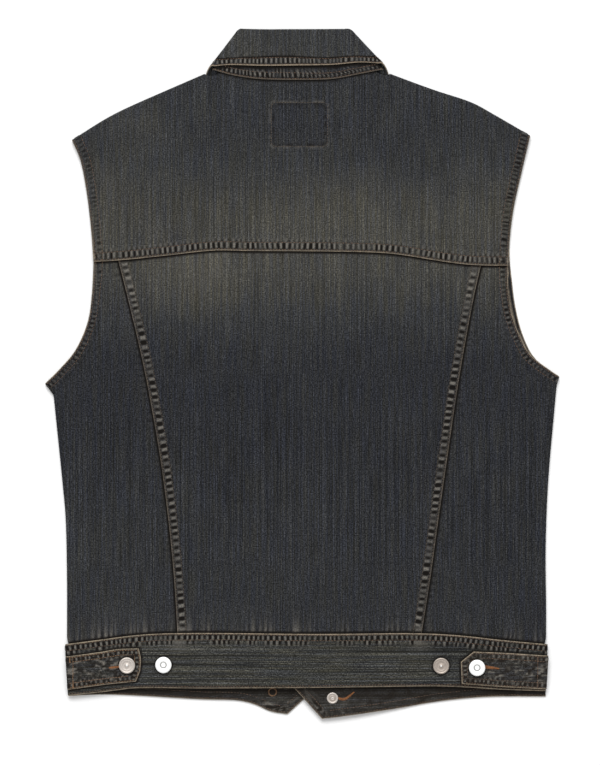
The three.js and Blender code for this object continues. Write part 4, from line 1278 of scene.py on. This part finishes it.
def add_collar():
    lines = lambda part: [Line(part[key]) for key in ("neck", "roll", "leaf")]
    back = lines(COLLAR_BACK)
    stations = []

    def front(s, shares):
        part = lines(COLLAR_FRONT[s])
        for share in shares:
            stations.append(([line.at(share) for line in part], (0, 0, -1)))

    def turn(s, angles):
        part = lines(COLLAR_FRONT[s])
        end = 0 if s == "left" else 1
        out = COLLAR_FRONT[s]["out"]
        for degrees in angles:
            angle = math.radians(degrees)
            share = (math.sin(angle) + 1) / 2
            ends = [a.at(0) * (1 - share) + b.at(end) * share for a, b in zip(part, back)]
            stations.append((ends, (out[0] * math.cos(angle), out[1] * math.cos(angle), math.sin(angle))))

    front("left", np.linspace(1, 0.02, 52))
    turn("left", np.arange(-90, 90, 7.5))
    for share in np.linspace(0, 1, 300):
        stations.append(([line.at(share) for line in back], (0, 0, 1)))
    turn("right", np.arange(82.5, -91, -7.5))
    front("right", np.linspace(0.02, 1, 52))

    near = np.array([0, 0.15, 0.35, 0.65, 1.05, 1.6, 2.2, 2.9, *np.arange(3.9, 13, 1.1)])
    far = np.linspace(14.5, 50, 13)
    stand_shares = np.r_[near, far] / 50
    leaf_shares = 1 - np.r_[near, np.linspace(14.5, 35, 9)][::-1] / 35
    bend = np.radians(np.arange(20, 161, 17.5))
    radius = (LEAF_OUT - STAND_OUT) / 2
    middle, ways = [], []
    for (neck, roll, leaf), way in stations:
        way = np.array(way, float)
        neck, roll, leaf = (np.array([*p, 0]) for p in (neck, roll, leaf))
        beyond = 2 * roll - neck - leaf
        beyond = beyond / np.linalg.norm(beyond)
        level = np.array([0, 0, COLLAR_HEIGHT])
        stand = [neck + (roll - neck) * t + level + way * STAND_OUT for t in stand_shares]
        fold = [
            roll + level + beyond * radius * math.sin(a) + way * ((LEAF_OUT + STAND_OUT) / 2 - radius * math.cos(a))
            for a in bend
        ]
        fall = [roll + (leaf - roll) * t + level + way * LEAF_OUT for t in leaf_shares]
        middle.append(stand + fold + fall)
        ways.append(way)
    middle, ways = np.array(middle), np.array(ways)
    along = np.gradient(middle, axis=0)
    normal = np.cross(np.gradient(middle, axis=1), along)
    normal /= np.linalg.norm(normal, axis=2, keepdims=True)
    span = np.linalg.norm(np.diff(middle, axis=1), axis=2)
    from_neck = np.c_[np.zeros(len(middle)), np.cumsum(span, 1)]
    from_leaf_edge = from_neck[:, -1:] - from_neck
    places = []
    for edge in (0, -1):
        lengths = np.linalg.norm(np.diff(middle[:, edge], axis=0), axis=1)
        places.append(np.r_[0, np.cumsum(lengths)][:, None] + np.zeros(middle.shape[:2]))
    on_leaf = np.arange(middle.shape[1]) >= len(stand_shares) + len(bend) // 2
    leaf_side = np.sign(np.sum(normal[:, -1] * ways, axis=1))[:, None]
    under = (ways[:, 2] < 0.3)[:, None]
    x, y = middle[..., 0], middle[..., 1]

    upright = (ways[:, 2] > 0.99)[:, None]
    beats = [np.where(upright, x, place) for place in places]
    leaf_look = Look(x, 0.52 + 0.14 * np.exp(-(((x + 60) / 25) ** 2)) + 0.07 * mottle(x, y, 22, 151))
    leaf_look.strip(from_leaf_edge, beats[1], 152, rows=ROWS["leaf"], pitch=4.6, height=0.42, light=1.2, beyond=3,
                    tail=0.8)
    leaf_look.ripples(from_leaf_edge - 8.6, places[1] + 2, 154, pitch=9, reach=6, height=0.2, light=0.4)
    stand_look = Look(x, 0.22 + 0.06 * mottle(x, y, 22, 156))
    stand_look.strip(from_neck, beats[0], 157, rows=ROWS["stand"], pitch=4.4, height=0.38, light=1.2,
                     dark=1.3, beyond=4, tail=1.2, worn_edge=0.3, spread=0.6)
    # Painted shadow of the leaf's edge on the stand below it
    by_leaf_edge = y - Line(COLLAR_BACK["leaf"]).where(0, x)
    stand_look.shade = np.maximum(stand_look.shade, 1.04 * step(-4.8, -2.8, by_leaf_edge))
    # Painted shade on the stand where it turns away from the top, at the collar's ends and under the fronts; there
    # it has no light edge
    behind = step(0.5, 0.9, ways[:, 2])[:, None]
    stand_look.edge = stand_look.edge * behind
    stand_look.shade = np.maximum(stand_look.shade, 0.8 * (1 - behind))
    for look in (leaf_look, stand_look):
        look.swell = np.where(under, np.minimum(look.swell, 0), look.swell)
    plain = Look(x, 0.35)
    turn_in = np.maximum(*(1 - np.sqrt(1 - np.clip(1 - d / 0.7, 0, 1) ** 2) for d in (from_neck, from_leaf_edge)))
    half = COLLAR_CLOTH / 2 * (1 - 0.9 * turn_in)
    side = leaf_side[..., None] * normal
    upper = middle + side * (half + np.where(on_leaf, leaf_look.swell, 0))[..., None]
    lower = middle - side * (half + np.where(on_leaf, 0, stand_look.swell))[..., None]
    for layer in (upper, lower):
        layer[..., 1] = np.minimum(layer[..., 1], COLLAR_TOP)
    looks = []
    for shown, chosen in ((on_leaf, leaf_look), (~on_leaf, stand_look)):
        merged = Look(x, 0)
        for key in ATTRIBUTES:
            setattr(merged, key, np.where(shown, getattr(chosen, key), getattr(plain, key)))
        edge = 1 - step(0.6, 1.6, np.minimum(from_neck + 9 * (1 - behind), from_leaf_edge))
        merged.edge = np.maximum(merged.edge, np.where(shown & on_leaf, 1.15, 0.3) * edge)
        looks.append(merged)
    piece = closed_shell("collar", upper, lower, looks, DENIM)
    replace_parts(piece, "collar")

    rows = []
    for field, distances, layer in ((from_leaf_edge, ROWS["leaf"], upper), (from_neck, ROWS["stand"], lower)):
        order = np.argsort(field, axis=1)
        for distance in distances:
            points = np.array([
                [np.interp(distance, field[i][order[i]], layer[i][order[i], k]) for k in range(3)]
                for i in range(len(middle))
            ])
            lengths = np.r_[0, np.cumsum(np.linalg.norm(np.diff(points, axis=0), axis=1))]
            place = np.arange(2, lengths[-1] - 2, 2.9)
            rows.append([
                np.column_stack([np.interp(place, lengths, part[:, k]) for k in range(3)])
                for part in (points, leaf_side * normal[:, -1])
            ])
    return rows


# Stitches

def stitch_mesh(name, centres, tangents, normals, length, radius, material, raise_by=0.1):
    """One capsule of thread for each stitch, with its ends in the cloth. All lengths are millimetres."""
    tangents = tangents / np.linalg.norm(tangents, axis=1, keepdims=True)
    sides = np.cross(normals, tangents)
    sides = sides / np.linalg.norm(sides, axis=1, keepdims=True)
    rings = [(-0.42, 0.75, 0.0), (0.0, 1.0, raise_by), (0.42, 0.75, 0.0)]
    turn = np.arange(6) * math.pi / 3
    length = np.broadcast_to(length, len(centres))[:, None]
    parts = [centres - tangents * 0.5 * length - normals * 0.22]
    for along, width, lift in rings:
        for angle in turn:
            parts.append(
                centres + tangents * along * length + sides * radius * width * math.cos(angle)
                + normals * (lift + radius * width * math.sin(angle))
            )
    parts.append(centres + tangents * 0.5 * length - normals * 0.22)
    points = np.stack(parts, 1).reshape(-1, 3)
    faces = [[0, 1 + (k + 1) % 6, 1 + k] for k in range(6)]
    for ring in (1, 7):
        faces += [[ring + k, ring + (k + 1) % 6, ring + 6 + (k + 1) % 6, ring + 6 + k] for k in range(6)]
    faces += [[13 + k, 13 + (k + 1) % 6, 19] for k in range(6)]
    every = [[20 * i + corner for corner in face] for i in range(len(centres)) for face in faces]
    return make_mesh(name, points, every, {}, material)


def rows_on(surface, rows, seed):
    """Centres, tangents and normals of stitches along rows of x, y on a surface."""
    random = np.random.default_rng(seed)
    centres, tangents, normals = [], [], []
    for row in rows:
        if len(row) < 3:
            continue
        row = row + random.normal(0, 0.1, row.shape)
        point, normal = surface(row[:, 0], row[:, 1])
        tangent = np.gradient(point, axis=0)
        centres.append(point)
        tangents.append(tangent + random.normal(0, 0.12, tangent.shape))
        normals.append(normal)
    return np.vstack(centres), np.vstack(tangents), np.vstack(normals)


def sew(name, surface, rows, seed, material=THREAD, radius=STITCH_RADIUS, lift=0.1):
    stitch_mesh(name, *rows_on(surfaces[surface], rows, seed), STITCH_LENGTH, radius, material, lift)


def satin(surface, line, width):
    """Close stitches across a line, as a buttonhole or a bar is worked."""
    path = Line(line)
    place = np.arange(0, path.length, SATIN_PITCH)
    x = np.interp(place, path.places, path.points[:, 0])
    y = np.interp(place, path.places, path.points[:, 1])
    point, normal = surface(x, y)
    along = np.gradient(np.column_stack([x, y, 0 * x]), axis=0)
    across = np.cross(normal, along)
    return point, across, normal, np.interp(place / path.length, *zip(*width))


def work(name, parts, material):
    centres, tangents, normals, lengths = (np.concatenate(group) for group in zip(*parts))
    stitch_mesh(name, centres, tangents, normals, lengths, 0.24, material, 0.2)


def keep(row, test):
    return row[test(row[:, 0], row[:, 1])]


def above_seam(x, y):
    return y > yoke_seam.where(0, x) + 0.4


def on_back(x, y):
    return (y < yoke_seam.where(0, x) - 1) & (y > waist_top.where(0, x) + 1)


def arc(x, y, radius, start, end):
    angles = np.radians(np.linspace(start, end, 25))
    return [[x + radius * math.cos(a), y + radius * math.sin(a)] for a in angles]


def armhole_rows(line, way, **more):
    return [line.row(way * 1.9, **more), line.row(lambda y: way * hem_width(y), **more)]


def add_stitching():
    inward = {"left": 1, "right": -1}
    rows = [yoke_seam.row(d) for d in ROWS["yoke"]]
    for s in SIDES:
        rows += [keep(row, above_seam) for row in armhole_rows(armhole_back[s], inward[s])]
    sew("stitches_yoke", "back_yoke", rows, 201)
    turn = []
    for k, (right, up) in enumerate(((1, 1), (-1, 1), (-1, -1), (1, -1), (1, 1))):
        x, y = (m + way * (h - LABEL_CORNER) for m, way, h in zip(LABEL, (right, up), LABEL_HALF))
        turn += arc(x, y, LABEL_CORNER, 90 * k, 90 * k + (90 if k < 4 else 0.1))
    sew("stitches_rectangle", "back_yoke", [Line(turn).row(0, 2.9, (0, 0))], 202, THREAD_DULL)

    rows = [keep(princess[s].row(inward[s] * d), on_back) for s in SIDES for d in ROWS["princess"]]
    sew("stitches_centre", "back_centre", rows, 203, THREAD_DULL)
    for s in SIDES:
        rows = [keep(row, on_back) for row in armhole_rows(armhole_back[s], inward[s])]
        sew(f"stitches_side_{s}", f"back_side_{s}", rows, 204)
    rows = [waist_top.row(-d) for d in ROWS["waist"]]
    sew("stitches_waistband", "waistband_back", [*rows, waist_bottom.row(2.0)], 206)

    for s, way in inward.items():
        hem, tip = front_band_edges(s)
        near, far = (way * d for d in ROWS["band"])
        rows = [hem.row(near, trim=(2, 3)), hem.row(far, trim=(2, 9)), tip.row(near), tip.row(far, trim=(8, 6))]
        band = f"waistband_front_{s}"
        sew(f"stitches_{band}", band, rows, 207, lift=UNDERSIDE_LIFT)
        shown = [keep(row, lambda x, y: y < waist_bottom.where(0, x) + 6) for row in rows]
        sew(f"stitches_{band}_inside", band + " inside", shown, 208, radius=0.24)
        rows = armhole_rows(armhole_front[s], way, trim=(5, 5))
        sew(f"stitches_front_{s}", f"front_{s}", rows, 209, lift=UNDERSIDE_LIFT)
        places = [-way * (FRONT_EDGE + d) for d in (*ROWS["placket"], PLACKET_WIDTH - ROWS["placket"][0])]
        rows = [Line([[x, -277], [x, 222]]).row(0) for x in places]
        sew(f"stitches_placket_{s}", f"placket_{s}", rows, 210, lift=UNDERSIDE_LIFT)

        top, bottom = Line(TAB[s]["top"]), Line(TAB[s]["bottom"])
        rows = []
        for d, trim, tip_trim in zip(ROWS["tab"], (3, 8), ((2, 2), (5, 6))):
            rows += [top.row(-way * d, 2.8, (3, trim)), bottom.row(way * d, 2.8, (3, trim))]
            rows += [Line(tip).row(-way * d, 2.8, tip_trim) for tip in TAB[s]["tip"]]
        column = -237.9 if s == "left" else 244.3
        rows.append(Line([[column, -326], [column, -294.5]]).row(0, 2.5, (0, 0)))
        sew(f"stitches_tab_{s}", f"tab_{s}", rows, 211, THREAD_TAN if s == "left" else THREAD)

    points, normals = zip(*add_collar())
    tangents = [np.gradient(point, axis=0) for point in points]
    stitch_mesh("stitches_collar", np.vstack(points), np.vstack(tangents), np.vstack(normals), 2.3, 0.26, THREAD)


def add_needlework():
    """Buttonholes, bars and the worked eyelet."""
    left, right = surfaces["tab_left"], surfaces["tab_right"]
    inside_left, inside_right = (surfaces[f"waistband_front_{s} inside"] for s in SIDES)
    # Name, surface, line, and widths at shares of its length
    buttonholes = [
        ("tab_left", left, [[-200.4, -305.2], [-192, -304.4], [-180, -303]], [(0, 1.8), (0.15, 2.6), (1, 2.6)]),
        ("tab_right", right, [[204.2, -306], [198, -305.2], [182, -303.5]], [(0, 1.6), (0.25, 3.0), (1, 5.0)]),
        ("front", inside_right, [[36.5, -336.8], [43.5, -338], [54, -330.6]], [(0, 2.6), (0.4, 3.4), (1, 1.3)]),
    ]
    for name, surface, line, widths in buttonholes:
        work(f"buttonhole_{name}", [satin(surface, line, widths)], THREAD_ORANGE)
    work("eyelet_front", [satin(inside_left, arc(*EYELET, 4.0, -250, 110), [(0, 1.5), (1, 1.5)])], THREAD_TAN)
    bars = [
        satin(left, [[-237.9, -319.5], [-237.9, -326.6]], [(0, 1.5), (1, 1.5)]),
        satin(left, [[-241.2, -295.6], [-241.2, -300]], [(0, 1.4), (1, 1.4)]),
    ]
    work("bars_tab_left", bars, THREAD_TAN)
    bars = [satin(right, [[244.3, y], [244.3, y - 5]], [(0, 1.4), (1, 1.4)]) for y in (-294, -320)]
    work("bars_tab_right", bars, THREAD)


# Buttons

PLAIN_CAP = [
    (0, 0), (4.2, 0), (4.2, 0.5), (2.6, 0.9), (2.6, 1.5), (7.8, 1.7), (8.35, 1.95), (8.5, 2.45), (8.4, 2.95),
    (8.05, 3.35), (7.5, 3.5), (6.8, 3.5), (6.3, 3.45), (5.6, 3.42), (4.4, 3.42), (3.8, 3.4), (3.5, 3.26),
    (3.1, 3.2), (2.7, 3.26), (2.4, 3.4), (1.6, 3.42), (0.8, 3.3), (0, 3.28),
]
DISHED_CAP = [
    (0, 0), (4.2, 0), (4.2, 0.5), (2.6, 0.9), (2.6, 1.5), (7.8, 1.7), (8.35, 1.95), (8.5, 2.45), (8.42, 2.95),
    (8.1, 3.4), (7.6, 3.58), (7.1, 3.54), (6.8, 3.4), (6.5, 3.3), (5.8, 3.28), (5.4, 3.34), (5.0, 3.34),
    (4.7, 3.24), (3.4, 3.18), (2.3, 3.2), (1.9, 3.3), (1.3, 3.5), (0.8, 3.58), (0, 3.6),
]
TACK = [(0, 0), (5.9, 0), (5.95, 0.35), (5.7, 0.85), (5.1, 1.05), (4.5, 0.95), (4.0, 0.75), (3.2, 0.72), (2.8, 0.85),
        (2.2, 0.95), (1.7, 0.8), (1.1, 0.72), (0.6, 0.9), (0, 1.0)]


def add_button(node, profile, materials, flipped=False, segments=48):
    """A turned metal part. materials are rows of a radius and the material inside it."""
    low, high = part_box(node)
    x, y = (low.x + high.x) / 2 / MM, (low.y + high.y) / 2 / MM
    base, way = (high.z / MM, -1) if flipped else (low.z / MM, 1)
    turn = np.arange(segments) * 2 * math.pi / segments
    points = [[x, y, base + way * profile[0][1]]]
    for radius, height in profile[1:-1]:
        points += [[x + radius * math.cos(a), y + radius * math.sin(a), base + way * height] for a in turn]
    points.append([x, y, base + way * profile[-1][1]])
    faces, radii = [], []
    last = len(points) - 1
    for k in range(segments):
        after = (k + 1) % segments
        faces.append([0, 1 + after, 1 + k])
        radii.append(9)
        for ring in range(len(profile) - 3):
            a, b = 1 + ring * segments, 1 + (ring + 1) * segments
            faces.append([a + k, a + after, b + after, b + k])
            radii.append(max(profile[ring + 1][0], profile[ring + 2][0]) if ring > 4 else 9)
        a = 1 + (len(profile) - 3) * segments
        faces.append([a + k, a + after, last])
        radii.append(profile[-2][0])
    if flipped:
        faces = [face[::-1] for face in faces]
    piece = make_mesh(f"{node}_metal", points, faces, {}, materials[0][1])
    for _, material in materials[1:]:
        piece.data.materials.append(material)
    chosen = [max(k for k, (limit, _) in enumerate(materials) if radius <= limit) for radius in radii]
    piece.data.polygons.foreach_set("material_index", chosen)
    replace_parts(piece, node)


add_yoke()
add_back_panels()
add_waistbands()
add_fronts()
add_tabs()
add_stitching()
add_needlework()

# On the dished, aged buttons, the front ones too, the small MetalBright disc in the middle is a painted highlight
add_button("button_tab_left", DISHED_CAP, [(99, AGED), (1.0, BRIGHT)])
add_button("button_waist_left", PLAIN_CAP, [(99, BRIGHT), (3.6, BRIGHT_RING), (2.5, BRIGHT)])
add_button("button_waist_right", DISHED_CAP, [(99, AGED_DARK), (1.0, BRIGHT)])
add_button("button_tab_right", PLAIN_CAP, [(99, BRIGHT), (3.6, BRIGHT_RING), (2.5, BRIGHT)])
for number in range(1, 7):
    add_button(f"button_front_{number}", DISHED_CAP, [(99, AGED), (7.0, AGED_DARK), (2.0, BRIGHT)], True, 36)
add_button("tack_head", TACK, [(99, AGED), (4.2, AGED_DARK), (2.0, AGED)])


# Floor, light and camera

def add_stage():
    n = Nodes("PaleFloor")
    grain = n.noise((3, 3, 3), 2.0)
    n.put(n.shader.inputs["Base Color"], n.ramp(grain, [(0.3, (0.9, 0.9, 0.9)), (0.7, (0.92, 0.92, 0.92))]))
    n.shader.inputs["Roughness"].default_value = 0.9
    n.shader.inputs["Specular IOR Level"].default_value = 0.0
    mesh = bpy.data.meshes.new("floor")
    mesh.from_pydata([(-3, -3, -0.0003), (3, -3, -0.0003), (3, 3, -0.0003), (-3, 3, -0.0003)], [], [[0, 1, 2, 3]])
    mesh.materials.append(n.material)
    floor = bpy.data.objects.new("floor", mesh)
    bpy.context.scene.collection.objects.link(floor)
    floor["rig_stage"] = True


def add_light(name, place, size, power):
    light = bpy.data.lights.new(name, "AREA")
    light.shape = "DISK"
    light.size = size
    light.energy = power
    lamp = bpy.data.objects.new(name, light)
    lamp.location = place
    lamp.rotation_euler = lamp.location.to_track_quat("Z", "Y").to_euler()
    bpy.context.scene.collection.objects.link(lamp)


def add_world(strength):
    world = bpy.data.worlds.new("Studio")
    world.use_nodes = True
    world.node_tree.nodes["Background"].inputs["Color"].default_value = (1, 1, 1, 1)
    world.node_tree.nodes["Background"].inputs["Strength"].default_value = strength
    bpy.context.scene.world = world


CAMERA_HEIGHT = 4.005
VIEW_LENGTH = 0.7956  # of the photograph's long side, on the floor

add_stage()
add_world(0.68)
add_light("key", (-0.35, 3.7, 4.6), 4.0, 300)
camera_data = bpy.data.cameras.new("camera")
camera_data.sensor_fit = "VERTICAL"
camera_data.sensor_height = 24
camera_data.lens = 24 * CAMERA_HEIGHT / VIEW_LENGTH
camera = bpy.data.objects.new("camera", camera_data)
camera.location = (-0.00234, -0.0091, CAMERA_HEIGHT)
bpy.context.scene.collection.objects.link(camera)
bpy.context.scene.camera = camera
bpy.context.scene.view_settings.view_transform = "Standard"

{"cad": [list(corner) for corner in cad_box], "visual": [list(corner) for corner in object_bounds()]}
